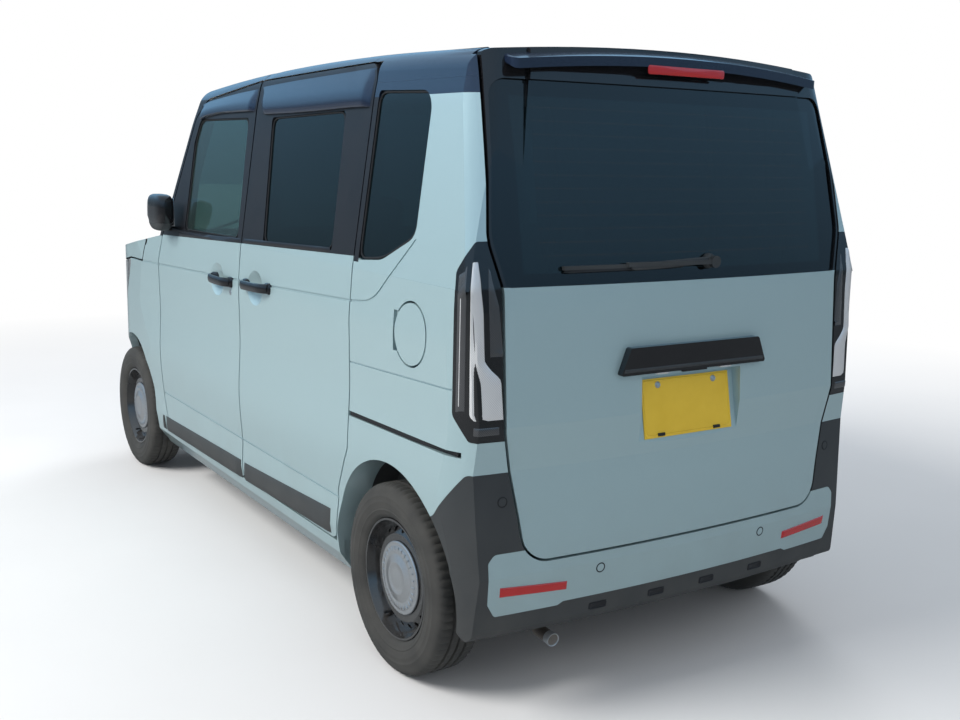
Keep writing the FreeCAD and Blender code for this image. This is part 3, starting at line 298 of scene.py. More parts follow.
def put_on(shader, place, made):
    """Set a shader's sockets from a recipe, and turn its skin into bumps."""
    fill(shader, {name: value for name, value in made.items() if name != "skin"})
    fill(shader, {"Coat Roughness": 0.04, "Specular IOR Level": 0.35})
    if isinstance(made["skin"], Wire):
        bump = place.node("ShaderNodeBump", None, {"Strength": 1.0, "Distance": 1.0, "Height": made["skin"]})
        fill(shader, {"Normal": bump})


def material_of(name, mix):
    """A material from a function of the place and the facing."""
    material, shader, place, facing = start(name)
    put_on(shader, place, mix(place, facing))
    return material


BELT_HEIGHT, BELT_FALL = 1.1465, 0.038
TWO_TONE_HEIGHT = 1.6375
BACK_GLASS_FOOT = 1.1570
QUARTER_GLASS_START, QUARTER_GLASS_FOOT = -1.035, 1.170
MIRROR_CUP_TOP = 1.178
TURNED, TURNED_INWARD = 0.3, -0.15


def inward(place, facing):
    """1 on the faces of a side panel that look into the cabin."""
    return (place.parts()[1] * facing.parts()[1]) < TURNED_INWARD


def door_mix(place, facing):
    x, y, z = place.parts()
    belt = (z + x * BELT_FALL) > BELT_HEIGHT
    skin = painted_over(belt, blue_paint(place), sash_black(place))
    return painted_over(inward(place, facing), skin, cabin_moulding(place))


def quarter_mix(place, facing):
    """Blue below the roof line, and a black strip between the sliding door and the side window."""
    x, y, z = place.parts()
    strip = ((x > QUARTER_GLASS_START) * (z > QUARTER_GLASS_FOOT)).clear()
    skin = painted_over(strip, blue_paint(place), sash_black(place))
    skin = painted_over(z > TWO_TONE_HEIGHT, skin, roof_paint(place))
    return painted_over(inward(place, facing), skin, cabin_moulding(place))


def tailgate_mix(place, facing):
    z = place.parts()[2]
    skin = painted_over(z > BACK_GLASS_FOOT, blue_paint(place), piano_black(place))
    return painted_over(facing.parts()[0] > TURNED, skin, cabin_moulding(place))


def roof_mix(place, facing):
    return painted_over(facing.parts()[2] < -TURNED, roof_paint(place), head_lining(place))


def lid_mix(place, facing):
    return painted_over(facing.parts()[2] < -TURNED, blue_paint(place), undercoat(place))


def mirror_mix(place, facing):
    return painted_over(place.parts()[2] < MIRROR_CUP_TOP, piano_black(place), trim_plastic(place))


def only(recipe_function):
    """A mix of one recipe alone."""
    return lambda place, facing: recipe_function(place)


NODE_MIXES = {
    "front_door_left": door_mix, "front_door_right": door_mix, "sliding_doors": door_mix,
    "quarter_panels": quarter_mix, "tailgate": tailgate_mix, "roof_panel": roof_mix, "bonnet": lid_mix,
    "mirror_left": mirror_mix, "mirror_right": mirror_mix,
}
SLOT_RECIPES = {
    "body_paint": blue_paint, "roof_black": roof_paint, "pillar_black": sash_black,
    "gloss_black": piano_black, "trim_dark": trim_plastic, "underbody": undercoat,
    "cabin_plastic": cabin_moulding, "seat_cloth": woven_cloth, "engine_metal": cast_metal,
    "exhaust_steel": hot_steel, "plate_yellow": plate_enamel, "tyre_rubber": tread_rubber,
    "wheel_steel": wheel_enamel,
}
LOOSE_RECIPES = {"rubber_seal": rubber, "silver": bare_silver}
finish = {name: material_of(name, only(made)) for name, made in {**SLOT_RECIPES, **LOOSE_RECIPES}.items()}
print("opaque materials:", len(finish))

# %% [markdown]
# Glass is a shader that lets light through. The front doors and the screen are faintly green and clear. The
# rest is privacy glass, much darker, and the back window carries fine heating wires. The wires are a
# pattern in the colour, because the real ones are a printed film with no depth that the eye could see.

# %% Glass and lenses
SMEAR_DULL = 0.012


def see_through(name, tint, amount, lacquer):
    """A clear material: tint colours what is seen through it, amount is how much passes."""
    material, shader, place, facing = start(name)
    smear = place.grain(5, 4)
    fill(shader, {"Base Color": mixed(smear, tint, tuple(c * 0.93 for c in tint)),
                  "Roughness": smear * SMEAR_DULL, "Transmission Weight": amount, "Coat Weight": lacquer,
                  "Specular IOR Level": 0.5, "IOR": 1.45})
    return material


for name, tint, amount, lacquer in (("glass_clear", (0.27, 0.44, 0.42), 0.95, 0.0),
                                    ("glass_privacy", (0.012, 0.028, 0.034), 0.80, 0.0),
                                    ("lamp_clear", (0.80, 0.84, 0.87), 0.92, 0.0),
                                    ("lamp_smoke", (0.014, 0.015, 0.017), 0.3, 0.3)):
    finish[name] = see_through(name, tint, amount, lacquer)
WIRE_PITCH, WIRE_REACH, WIRE_LOW, WIRE_TOP = 0.034, 0.50, 1.21, 1.62
WIRE_CREST = 0.993
BORDER_SIDE, BORDER_LOW, BORDER_TOP = 0.553, 1.188, 1.634


def heated_glass():
    """The back window: privacy glass with thin brown wires and a black printed border."""
    material, shader, place, facing = start("heated_glass")
    x, y, z = place.parts()
    crests = z.wave(WIRE_PITCH) > WIRE_CREST
    wires = (crests * (abs(y) < WIRE_REACH) * (z > WIRE_LOW) * (z < WIRE_TOP)).clear()
    smear = place.grain(5, 4)
    colour = mixed(smear, (0.010, 0.024, 0.031), (0.015, 0.031, 0.039))
    border = ((abs(y) > BORDER_SIDE) + (z < BORDER_LOW) + (z > BORDER_TOP)).clear()
    colour = mixed(wires, colour, (0.10, 0.065, 0.035))
    fill(shader, {"Base Color": mixed(border, colour, (0.006, 0.006, 0.007)), "Roughness": smear * SMEAR_DULL,
                  "Transmission Weight": 0.7, "Specular IOR Level": 0.6})
    return material


def glowing(name, dark, bright, pitch, dull=0.12, metal=0.0):
    """Moulded lamp plastic: a fine pattern of ribs between two shades, lacquered like a lens."""
    def mix(place, facing):
        x, y, z = place.parts()
        rib = (z.wave(pitch) * (x + y).wave(pitch) * 0.5 + 0.5).clear()
        return recipe(mixed(rib, dark, bright), dull + rib * 0.06, metal, 1.0, rib * 0.0003)
    return material_of(name, mix)


finish["heated_glass"] = heated_glass()
LAMP_PLASTICS = {
    "red_lens": ((0.30, 0.008, 0.010), (0.52, 0.018, 0.016), 0.0052),
    "amber_lens": ((0.42, 0.14, 0.01), (0.62, 0.22, 0.02), 0.0052),
    "white_lens": ((0.50, 0.51, 0.52), (0.74, 0.75, 0.76), 0.0064, 0.12, 0.25),
    "bowl_silver": ((0.52, 0.53, 0.55), (0.72, 0.73, 0.75), 0.012, 0.10, 0.9),
    "smoke_grey": ((0.030, 0.031, 0.034), (0.060, 0.062, 0.066), 0.0064),
}
for name, look in LAMP_PLASTICS.items():
    finish[name] = glowing(name, *look)
print("all materials:", len(finish))

# %% [markdown]
# Every solid now gets the material of its slot. The panels with more than one finish get their own mix.

# %% Finish on every solid
for name, node in nodes.items():
    made = finish[slots[name]]
    if name in NODE_MIXES:
        made = material_of(name + "_finish", NODE_MIXES[name])
    elif name == "tailgate_glass":
        made = finish["heated_glass"]
    node.data.materials.clear()
    node.data.materials.append(made)
print("finished solids:", len(nodes), "with mixes of their own:", len(NODE_MIXES))

# %% [markdown]
# Most of what is added lies on a curved panel: a moulding, a lens, a strip of rubber. Measuring the panel
# and copying its curve would never fit. So each such piece is drawn flat, as two edge lines, and every
# point of it is then dropped onto the solid by a ray. The piece takes the panel's own curve, and stands
# proud of it by the heights that are given across it.

# %% Dropping points onto the panels
MM = 0.001
LEFT, REAR, FRONT = Vector((0, -1, 0)), Vector((1, 0, 0)), Vector((-1, 0, 0))
DOWN, CORNER = Vector((0, 0, -1)), Vector((1, -1, 0)).normalized()
UP_Z = Vector((0, 0, 1))
VIEWS = {
    "left": (Vector((0, 1.3, 0)), Vector((1, 0, 0)), UP_Z, LEFT),
    "rear": (Vector((-2.3, 0, 0)), Vector((0, 1, 0)), UP_Z, REAR),
    "front": (Vector((2.3, 0, 0)), Vector((0, 1, 0)), UP_Z, FRONT),
    "top": (Vector((0, 0, 2.3)), Vector((1, 0, 0)), Vector((0, 1, 0)), DOWN),
    "corner": (Vector((-1.7, 1.7, 0)), Vector((1, 1, 0)).normalized(), UP_Z, CORNER),
}
skins = {}


def skin_of(*names):
    """The surface of some solids, ready for rays."""
    if names not in skins:
        points, faces = [], []
        for name in names:
            mesh = nodes[name].data
            first = len(points)
            points += [v.co.copy() for v in mesh.vertices]
            faces += [[first + i for i in face.vertices] for face in mesh.polygons]
        skins[names] = BVHTree.FromPolygons(points, faces)
    return skins[names]


GAP_STEP, GAP_DEPTH = 5.0, 0.006


def drop(view, names, a, b):
    """Where a flat point (a, b) in millimetres lands on the solids, and the way the surface faces there.
    Over a gap, the nearest of four points beside it lends its depth."""
    origin, across, up, toward = VIEWS[view]
    skin = skin_of(*names)
    best = None
    for step in (1, 2, 4):
        for da, db in ((0, 0), (1, 0), (-1, 0), (0, 1), (0, -1)):
            aside = (across * da + up * db) * (GAP_STEP * step * MM)
            from_point = origin + across * (a * MM) + up * (b * MM) + aside
            hit, facing, _, depth = skin.ray_cast(from_point, toward)
            if hit is not None and (best is None or depth < best[2] - GAP_DEPTH):
                best = (hit - aside, facing, depth)
        if best:
            break
    if best is None:
        raise ValueError(f"no surface of {names} near {a:.0f}, {b:.0f} in view {view}")
    hit, facing, _ = best
    return (hit, -facing) if facing.dot(toward) > 0 else (hit, facing)


print("views for dropping:", ", ".join(VIEWS))

# %% [markdown]
# Every piece is a closed mesh in one object of its own, with soft shading and crisp edges only where the
# surface really turns. It rides on the body of the solid that carries it. Pieces on the left side are made
# once and mirrored, since the car is the same on both sides.

# %% Making a piece
made_pieces = {}


def named(*words):
    """The pieces made so far that have one of these words in their names."""
    return [name for name in made_pieces if any(word in name for word in words)]


def shade(thing, crease=38.0):
    """Smooth shading that breaks only at true edges."""
    thing.data.shade_smooth()
    thing.data.set_sharp_from_angle(angle=math.radians(crease))


def piece(name, points, faces, stuff, body="body", crease=38.0):
    """One object from points in metres and faces, with its faces turned outwards."""
    mesh = bpy.data.meshes.new(name)
    mesh.from_pydata([tuple(p) for p in points], [], faces)
    work = bmesh.new()
    work.from_mesh(mesh)
    bmesh.ops.remove_doubles(work, verts=work.verts, dist=0.00001)
    bmesh.ops.dissolve_degenerate(work, edges=work.edges, dist=0.00001)
    bmesh.ops.recalc_face_normals(work, faces=work.faces)
    work.to_mesh(mesh)
    work.free()
    thing = bpy.data.objects.new(name, mesh)
    scene.collection.objects.link(thing)
    shade(thing, crease)
    mesh.materials.append(finish[stuff] if isinstance(stuff, str) else stuff)
    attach(thing, body)
    made_pieces[name] = body
    return thing


def other_side(thing):
    """The same piece mirrored to the right side, on the body that matches."""
    name, body = [word.replace("_left", "_right") for word in (thing.name, made_pieces[thing.name])]
    points = [(v.co.x, -v.co.y, v.co.z) for v in thing.data.vertices]
    faces = [tuple(reversed(face.vertices)) for face in thing.data.polygons]
    return piece(name, points, faces, thing.data.materials[0], body)


def joined(name, things, stuff, body="body"):
    """Several pieces made into one object, as repeats of one kind are."""
    points, faces = [], []
    for thing in things:
        first = len(points)
        points += [v.co.copy() for v in thing.data.vertices]
        faces += [[first + i for i in face.vertices] for face in thing.data.polygons]
        del made_pieces[thing.name]
        bpy.data.objects.remove(thing)
    return piece(name, points, faces, stuff, body)


print("piece makers ready")

# %% [markdown]
# Five shapes of mesh cover nearly everything: a band between two edge lines, a patch inside one outline, a
# turned shape, a section drawn along a path, and a block with moulded edges. The first four are grids of
# points, so each stays a clean closed surface.

# %% Lines and grids
def spread(line, count, closed=False):
    """A line of points divided into even steps."""
    line = [Vector(p) for p in line]
    if closed:
        line.append(line[0])
    lengths = [0.0]
    for a, b in zip(line, line[1:]):
        lengths.append(lengths[-1] + (b - a).length)
    found = []
    steps = count if closed else count - 1
    for i in range(count):
        want = lengths[-1] * i / steps
        k = next((j for j in range(1, len(lengths)) if lengths[j] >= want - 1e-9), len(lengths) - 1)
        span = lengths[k] - lengths[k - 1] or 1.0
        found.append(line[k - 1].lerp(line[k], (want - lengths[k - 1]) / span))
    return found


def curved(line, count):
    """A smooth curve through the points of a line, so that a few points make a fair edge."""
    line = [Vector(p) for p in line]
    ends = [line[0] * 2 - line[1], *line, line[-1] * 2 - line[-2]]
    fine = []
    for p, q, r, s in zip(ends, ends[1:], ends[2:], ends[3:]):
        for i in range(12):
            t = i / 12
            fine.append(0.5 * (2 * q + (r - p) * t + (2 * p - 5 * q + 4 * r - s) * t * t
                               + (3 * q - p - 3 * r + s) * t ** 3))
    return spread(fine + [line[-1]], count)


def rounded(corners, radius, steps=5):
    """A closed outline with its corners rounded."""
    found = []
    count = len(corners)
    for i, corner in enumerate(corners):
        here = Vector(corner)
        before, after = Vector(corners[i - 1]), Vector(corners[(i + 1) % count])
        reach = min(radius, (before - here).length * 0.45, (after - here).length * 0.45)
        start_point = here + (before - here).normalized() * reach
        end_point = here + (after - here).normalized() * reach
        for j in range(steps + 1):
            t = j / steps
            found.append(start_point * (1 - t) ** 2 + here * (2 * t * (1 - t)) + end_point * t * t)
    return found


def plate_line(a0, a1, b0, b1, radius):
    """The outline of a rectangle with rounded corners."""
    return rounded([(a0, b0), (a1, b0), (a1, b1), (a0, b1)], radius)


def grid_faces(rows, columns, wrap_rows=False, wrap_columns=False, ends=False):
    """Faces of a grid of points laid row after row. ends closes the first and the last row with a face."""
    found = []
    for r in range(rows if wrap_rows else rows - 1):
        for c in range(columns if wrap_columns else columns - 1):
            a, b = r * columns, (r + 1) % rows * columns
            d = (c + 1) % columns
            found.append((a + c, a + d, b + d, b + c))
    if ends:
        found += [tuple(range(columns)), tuple(range((rows - 1) * columns, rows * columns))]
    return found


print("a rounded square has", len(rounded([(0, 0), (1, 0), (1, 1), (0, 1)], 0.2)), "points")

# %% Bands and patches
SINK = -1.0


def middle_of(outline):
    """The mean of the points of an outline."""
    return sum((Vector(p) for p in outline), Vector((0, 0))) / len(outline)


def band(name, low, high, heights, view, on, stuff, body="body", steps=28, taper=8.0, loop=False,
         smooth=True):
    """A strip between two edge lines. heights: (share of the way across, millimetres above the panel)."""
    draw = spread if loop or not smooth or min(len(low), len(high)) < 3 else curved
    lows, highs = [draw(line, steps, True) if loop else draw(line, steps) for line in (low, high)]
    full = (lows[-1] - lows[0]).length or 1.0
    points = []
    profile = [(heights[0][0], SINK), *heights, (heights[-1][0], SINK)]
    for i in range(steps):
        along = full * min(i, steps - 1 - i) / (steps - 1)
        rise = 1.0 if loop or taper <= 0 else math.sqrt(max(0.0, 1 - (1 - min(along / taper, 1)) ** 2))
        for share, height in profile:
            flat = lows[i].lerp(highs[i], share)
            hit, facing = drop(view, on, flat.x, flat.y)
            lift = height if height < 0 else height * rise
            points.append(hit + facing * (lift * MM))
    return piece(name, points, grid_faces(steps, len(profile), loop, True, not loop), stuff, body)


def patch(name, outline, heights, view, on, stuff, body="body"):
    """A plate inside one outline. heights: (share of the way to the middle, millimetres above the panel)."""
    middle = middle_of(outline)
    profile = [(0.0, SINK), *heights]
    points = []
    for share, height in profile:
        for corner in outline:
            flat = Vector(corner).lerp(middle, share)
            hit, facing = drop(view, on, flat.x, flat.y)
            points.append(hit + facing * (height * MM))
    count = len(outline)
    faces = grid_faces(len(profile), count, wrap_columns=True)
    hit, facing = drop(view, on, middle.x, middle.y)
    top = len(points)
    points.append(hit + facing * (heights[-1][1] * MM))
    first = (len(profile) - 1) * count
    faces += [(first + i, first + (i + 1) % count, top) for i in range(count)]
    back = len(points)
    points.append(hit + facing * (SINK * MM))
    faces += [((i + 1) % count, i, back) for i in range(count)]
    return piece(name, points, faces, stuff, body)


# %% Turned and swept shapes
def turned_shape(name, profile, centre, axis, stuff, body="body", segments=40, crease=38.0):
    """A profile of (radius, distance along the axis) in millimetres, spun round an axis."""
    axis = Vector(axis).normalized()
    side = axis.orthogonal().normalized()
    up = axis.cross(side)
    points = []
    for i in range(segments):
        angle = 2 * math.pi * i / segments
        out = side * math.cos(angle) + up * math.sin(angle)
        points += [(Vector(centre) + out * r + axis * d) * MM for r, d in profile]
    return piece(name, points, grid_faces(segments, len(profile), True, True), stuff, body, crease)


def button(name, profile, view, on, a, b, stuff, body="body", segments=24):
    """A turned shape that stands on a panel, square to its surface."""
    spot, facing = drop(view, on, a, b)
    return turned_shape(name, profile, spot / MM, facing, stuff, body, segments)


def swept(name, path, section, stuff, body="body", steps=None, closed=False, up=(0, 0, 1), ends=1.0):
    """A section of (sideways, upwards) millimetres drawn along a path. ends scales it at both tips."""
    line = spread(path, steps, closed) if closed else curved(path, steps or 24)
    count = len(line)
    points = []
    for i, here in enumerate(line):
        before = line[i - 1] if closed or i else line[0]
        after = line[(i + 1) % count] if closed or i < count - 1 else line[-1]
        way = (after - before).normalized()
        sideways = way.cross(Vector(up)).normalized()
        upwards = sideways.cross(way).normalized()
        size = ends if not closed and i in (0, count - 1) else 1.0
        points += [(here + sideways * u * size + upwards * v * size) * MM for u, v in section]
    return piece(name, points, grid_faces(count, len(section), closed, True, not closed), stuff, body)


def round_section(radius, count=10):
    angles = [2 * math.pi * i / count for i in range(count)]
    return [(radius * math.cos(angle), radius * math.sin(angle)) for angle in angles]


def points_and_faces(work):
    """What an edited mesh holds, for a piece. The edited mesh is let go."""
    work.verts.index_update()
    points = [v.co.copy() for v in work.verts]
    faces = [[v.index for v in face.verts] for face in work.faces]
    work.free()
    return points, faces


def moulded_block(name, centre, size, radius, stuff, body="body", turn=(0, 0, 0)):
    """A moulded block: rounded edges, sizes in millimetres, turned by degrees about X, Y and Z."""
    work = bmesh.new()
    bmesh.ops.create_cube(work, size=1.0)
    bmesh.ops.scale(work, vec=Vector(size) * MM, verts=work.verts)
    bmesh.ops.bevel(work, geom=work.edges[:], offset=radius * MM, segments=3, profile=0.5, affect="EDGES")
    spin = Matrix.Identity(4)
    for angle, letter in zip(turn, "XYZ"):
        spin = Matrix.Rotation(math.radians(angle), 4, letter) @ spin
    bmesh.ops.transform(work, matrix=Matrix.Translation(Vector(centre) * MM) @ spin, verts=work.verts)
    return piece(name, *points_and_faces(work), stuff, body)


print("shapes: band, patch, turned_shape, button, swept, moulded_block")

# %% [markdown]
# Weather visors are long scoops of smoked plastic stuck above the side windows. Their lower edge hangs
# free and their upper edge follows the roof line, so each is a band whose height swells in the lower half
# and fades out at the top.

# %% Weather visors
VISOR_CROSS = [(0.0, 10.0), (0.05, 14.5), (0.25, 17.0), (0.5, 14.0), (0.8, 5.5), (1.0, 1.2)]
FRONT_VISOR = ([(-96, 1613), (80, 1612), (246, 1609), (380, 1600), (464, 1587)],
               [(-98, 1690), (80, 1682), (246, 1671), (400, 1659), (466, 1648)])
REAR_VISOR = ([(-985, 1611), (-850, 1610), (-620, 1604), (-400, 1601), (-196, 1600)],
              [(-985, 1722), (-850, 1718), (-620, 1712), (-400, 1706), (-140, 1696)])
other_side(band("visor_front_left", *FRONT_VISOR, VISOR_CROSS, "left", ("front_door_left", "door_glass_left"),
                "roof_black", "front_door_left", 40, 30.0))
other_side(band("visor_rear_left", *REAR_VISOR, VISOR_CROSS, "left", ("sliding_doors", "side_glass"),
                "roof_black", "body", 48, 30.0))
print("visors:", named("visor"))

# %% [markdown]
# Below the glass of each door runs a belt moulding, a satin black strip. Round every side window lies a thin
# bead of rubber, pressed into the corner between frame and glass. It is one round section, swept along the
# outline of the window.

# %% Belt mouldings and window rubbers
BELT_LOW, BELT_TOP = 1148, 1164
BELT_CROSS = [(0.0, 1.0), (0.12, 3.0), (0.5, 4.0), (0.85, 3.2), (1.0, 1.2)]


def belt_strip(name, x0, x1, on, body):
    low, high = [[(x, z - x * BELT_FALL) for x in (x0, x1)] for z in (BELT_LOW, BELT_TOP)]
    return band(name, low, high, BELT_CROSS, "left", on, "pillar_black", body, 24, 10.0)


other_side(belt_strip("belt_front_left", -104, 560, ("front_door_left",), "front_door_left"))
other_side(belt_strip("belt_rear_left", -840, -134, ("sliding_doors",), "body"))
GLASS_LINES = {
    "front": ([(-76, 1162), (520, 1152), (516, 1500), (468, 1592), (-50, 1592)], "door_glass_left",
              "front_door_left"),
    "sliding": ([(-852, 1187), (-314, 1164), (-268, 1590), (-832, 1604)], "side_glass", "body"),
    "quarter": ([(-1032, 1176), (-1032, 1657), (-1337, 1649), (-1342, 1264), (-1172, 1188)], "side_glass",
                "body"),
}


def shrunk(outline, by):
    """An outline moved inwards by a few millimetres."""
    middle = middle_of(outline)
    return [Vector(p) + (middle - Vector(p)).normalized() * by for p in outline]


BEAD_INSET, BEAD_CORNER, BEAD_POINTS = 6, 34, 90
BEAD_RADIUS, BEAD_RISE = 3.2, Vector((0, 1.6, 0))


def glass_rubber(name, outline, glass, body):
    """A bead all round one window, half sunk in its glass."""
    line = spread(rounded(shrunk(outline, BEAD_INSET), BEAD_CORNER), BEAD_POINTS, True)
    path = [drop("left", (glass,), p.x, p.y)[0] / MM + BEAD_RISE for p in line]
    return swept(name, path, round_section(BEAD_RADIUS, 8), "rubber_seal", body, BEAD_POINTS, closed=True,
                 up=(0, 1, 0))


for word, (outline, glass, body) in GLASS_LINES.items():
    other_side(glass_rubber(f"rubber_{word}_left", outline, glass, body))
print("strips and rubbers:", named("belt", "rubber"))

# %% [markdown]
# Each door handle is a dark strap across a round cup pressed into the door. The cup is in the solid. The
# strap is a swept oval that leaves the skin at both ends and stands clear of the cup, so that fingers fit
# behind it. Its two feet are short and rounded, and the key barrel sits below the front handle.

# %% Door handles
STRAP_RISE = ((0.0, 9), (0.06, 17), (0.16, 25), (0.35, 28), (0.65, 28), (0.84, 25), (0.94, 17), (1.0, 9))
GRIP = [(-15, -3), (-16.5, 0), (-15, 4), (-10, 7), (0, 8.5), (10, 7), (15, 4), (16.5, 0), (15, -3), (9, -5),
        (-9, -5)]
FOOT_CROSS = [(0.0, 0.8), (0.12, 8.0), (0.3, 11.0), (0.9, 12.5)]
FOOT_INSET, FOOT_HALF_LONG, FOOT_HALF_TALL = 12, 21, 20


def door_handle(name, back, front, on, body):
    """A strap between two places on a door, with a rounded foot near each of its ends."""
    (x0, z0), (x1, z1) = back, front
    ends = [drop("left", on, x, z)[0] / MM for x, z in (back, front)]
    path = [ends[0].lerp(ends[1], share) + Vector((0, out, 0)) for share, out in STRAP_RISE]
    strap = swept(name, path, GRIP, "gloss_black", body, 40, up=(0, 1, 0), ends=0.72)
    feet = []
    for k, x in enumerate((x0 + FOOT_INSET, x1 - FOOT_INSET)):
        z = z0 + (z1 - z0) * (x - x0) / (x1 - x0)
        line = plate_line(x - FOOT_HALF_LONG, x + FOOT_HALF_LONG, z - FOOT_HALF_TALL, z + FOOT_HALF_TALL, 14)
        feet.append(patch(f"{name}_foot{k}", line, FOOT_CROSS, "left", on, "gloss_black", body))
    base = joined(name.replace("handle", "handle_feet"), feet, "gloss_black", body)
    for thing in (strap, base):
        other_side(thing)


door_handle("handle_front_left", (-50, 1004), (160, 1003), ("front_door_left",), "front_door_left")
door_handle("handle_sliding_left", (-403, 1020), (-180, 1014), ("sliding_doors",), "body")
KEY_BARREL = [(0, -1), (9, -1), (9, 1.2), (7.6, 2.4), (5.5, 2.4), (5.2, 1.4), (0, 1.4)]
button("key_barrel_left", KEY_BARREL, "left", ("front_door_left",), -36, 966, "silver", "front_door_left")
print("handles:", named("handle", "key"))

# %% [markdown]
# Along the foot of both doors runs a broad plastic guard, matt dark grey, thicker at its lower edge. It is
# held by hidden clips, so nothing shows but its long rounded form and its own grained skin.

# %% Door guards
GUARD_CROSS = [(0.0, 1.5), (0.06, 7.0), (0.2, 11.0), (0.5, 10.0), (0.8, 7.5), (0.94, 5.0), (1.0, 1.5)]
DOOR_FOOT = ("front_door_left", "sills", "front_fenders")
SLIDING_FOOT = ("sliding_doors", "sills", "quarter_panels")
THIN_GUARD = [(share, height * 0.6) for share, height in GUARD_CROSS]
other_side(band("guard_front_left", [(-104, 281), (350, 273), (782, 266)],
                [(-104, 351), (350, 341), (782, 331)], GUARD_CROSS, "left", DOOR_FOOT, "trim_dark",
                "front_door_left", 40, 12.0))
other_side(band("guard_tip_left", [(806, 266), (834, 264)], [(806, 330), (822, 329)], THIN_GUARD, "left",
                DOOR_FOOT, "trim_dark", "body", 12, 8.0))
other_side(band("guard_sliding_left", [(-864, 299), (-500, 291), (-134, 281)],
                [(-864, 380), (-500, 364), (-134, 349)], GUARD_CROSS, "left", SLIDING_FOOT, "trim_dark",
                "body", 40, 12.0))
print("guards:", named("guard"))

# %% [markdown]
# The tyres are narrow road tyres. A plain ring would look like a toy, so each one is a turned profile with
# three grooves round it, sipes cut across its blocks, and fine rings on the sidewall. It takes the place of
# the plain ring on every wheel and turns with it.

# %% Tyres with tread
AXLE_HEIGHT, HALF_TRACK = 278.5, 652.5
AXLES = {"front": 1262.5, "rear": -1257.5}
TYRE_R, RIM_R = 278.5, 177.8
SIDEWALL = [(RIM_R - 1.0, 57), (181, 62), (186, 67.5), (193, 71), (199, 73.2), (201, 74.6), (203, 74.6),
            (205, 73.8), (213, 75.8), (221, 76.6), (223, 77.2), (226, 77.2), (228, 76.6), (238, 75.8),
            (240, 76.4), (243, 76.2), (245, 75.0), (255, 73.2), (262, 70.5), (268, 67.0)]
SHOULDER = [(273.5, 62.0), (276.6, 55.0), (277.8, 46.0), (278.2, 38.0)]
GROOVES = (-27.0, 0.0, 27.0)
GROOVE_HALF, GROOVE_DEEP = 3.6, 7.0
SIPE_COUNT, SIPE_DEEP, MIDDLE_SIPE_DEEP = 72, 3.6, 2.4
MIDDLE_HALF = 31


def tread_line():
    """Across the tread from one shoulder to the other: (radius, offset, is it a block)."""
    found = [(r, offset, True) for r, offset in SHOULDER]
    for groove in reversed(GROOVES):
        found += [(TYRE_R - 0.1, groove + GROOVE_HALF + 1.4, True),
                  (TYRE_R - GROOVE_DEEP, groove + GROOVE_HALF, False),
                  (TYRE_R - GROOVE_DEEP, groove - GROOVE_HALF, False),
                  (TYRE_R - 0.1, groove - GROOVE_HALF - 1.4, True)]
        if groove != GROOVES[0]:
            found.append((TYRE_R, groove - 13.5, True))
    return found + [(r, -offset, True) for r, offset in reversed(SHOULDER)]


def tyre(name, body, x, side):
    """The tyre of one wheel, in place of the plain ring in the solids."""
    wall = [(r, o, False) for r, o in SIDEWALL]
    across = wall + tread_line() + [(r, -o, False) for r, o, _ in reversed(wall)]
    across += [(RIM_R - 1.6, -40.0, False), (RIM_R - 1.6, 40.0, False)]
    turns = SIPE_COUNT * 3
    points = []
    for i in range(turns):
        angle = 2 * math.pi * i / turns
        for r, offset, is_block in across:
            phase = 1 if offset > 0 else 0
            if is_block and i % 3 == phase and abs(offset) > MIDDLE_HALF:
                r -= SIPE_DEEP
            elif is_block and i % 6 == 2 and abs(offset) <= MIDDLE_HALF:
                r -= MIDDLE_SIPE_DEEP
            points.append(Vector((x + r * math.cos(angle), side * (HALF_TRACK + offset),
                                  AXLE_HEIGHT + r * math.sin(angle))) * MM)
    made = piece(name, points, grid_faces(turns, len(across), True, True), "tyre_rubber", body, 28.0)
    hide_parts(body.replace("wheel", "tyre"))
    return made


WHEELS = [(end, word, x, side) for end, x in AXLES.items() for side, word in ((1, "left"), (-1, "right"))]
for end, word, x, side in WHEELS:
    made = tyre(f"road_tyre_{end}_{word}", f"wheel_{end}_{word}", x, side)
print("points in a tyre:", len(made.data.vertices))

# %% [markdown]
# The wheels are pressed steel in black enamel. What shows on each is a silver cap over the nuts, with a
# raised ring and short spokes pressed round it, a rubber valve, and a thin bright lip where the cap meets
# the disc. The round middle of the cap is left plain.

# %% Wheel caps and valves
CAP_PROFILE = [(0, -2), (102, -2), (106.5, 0.0), (107.5, 3.0), (106.0, 5.5), (102, 6.2), (98, 5.0), (95, 5.0),
               (90, 8.5), (78, 10.5), (74, 9.0), (70, 9.0), (66, 12.0), (52, 13.0), (50, 14.4), (46, 15.0),
               (42, 14.4), (40, 13.2), (24, 15.2), (10, 16.0), (0, 16.2)]
CAP_SEAT, CAP_SPOKES, SPOKE_REACH, SPOKE_SEAT = 39.2, 28, 85, 9.4
VALVE_SEAT, VALVE_REACH = 26, 152
VALVE = [(0, -4), (5.5, -4), (5.5, 2), (4.2, 5), (3.6, 16), (4.4, 17), (4.4, 24), (3.2, 26), (0, 26)]


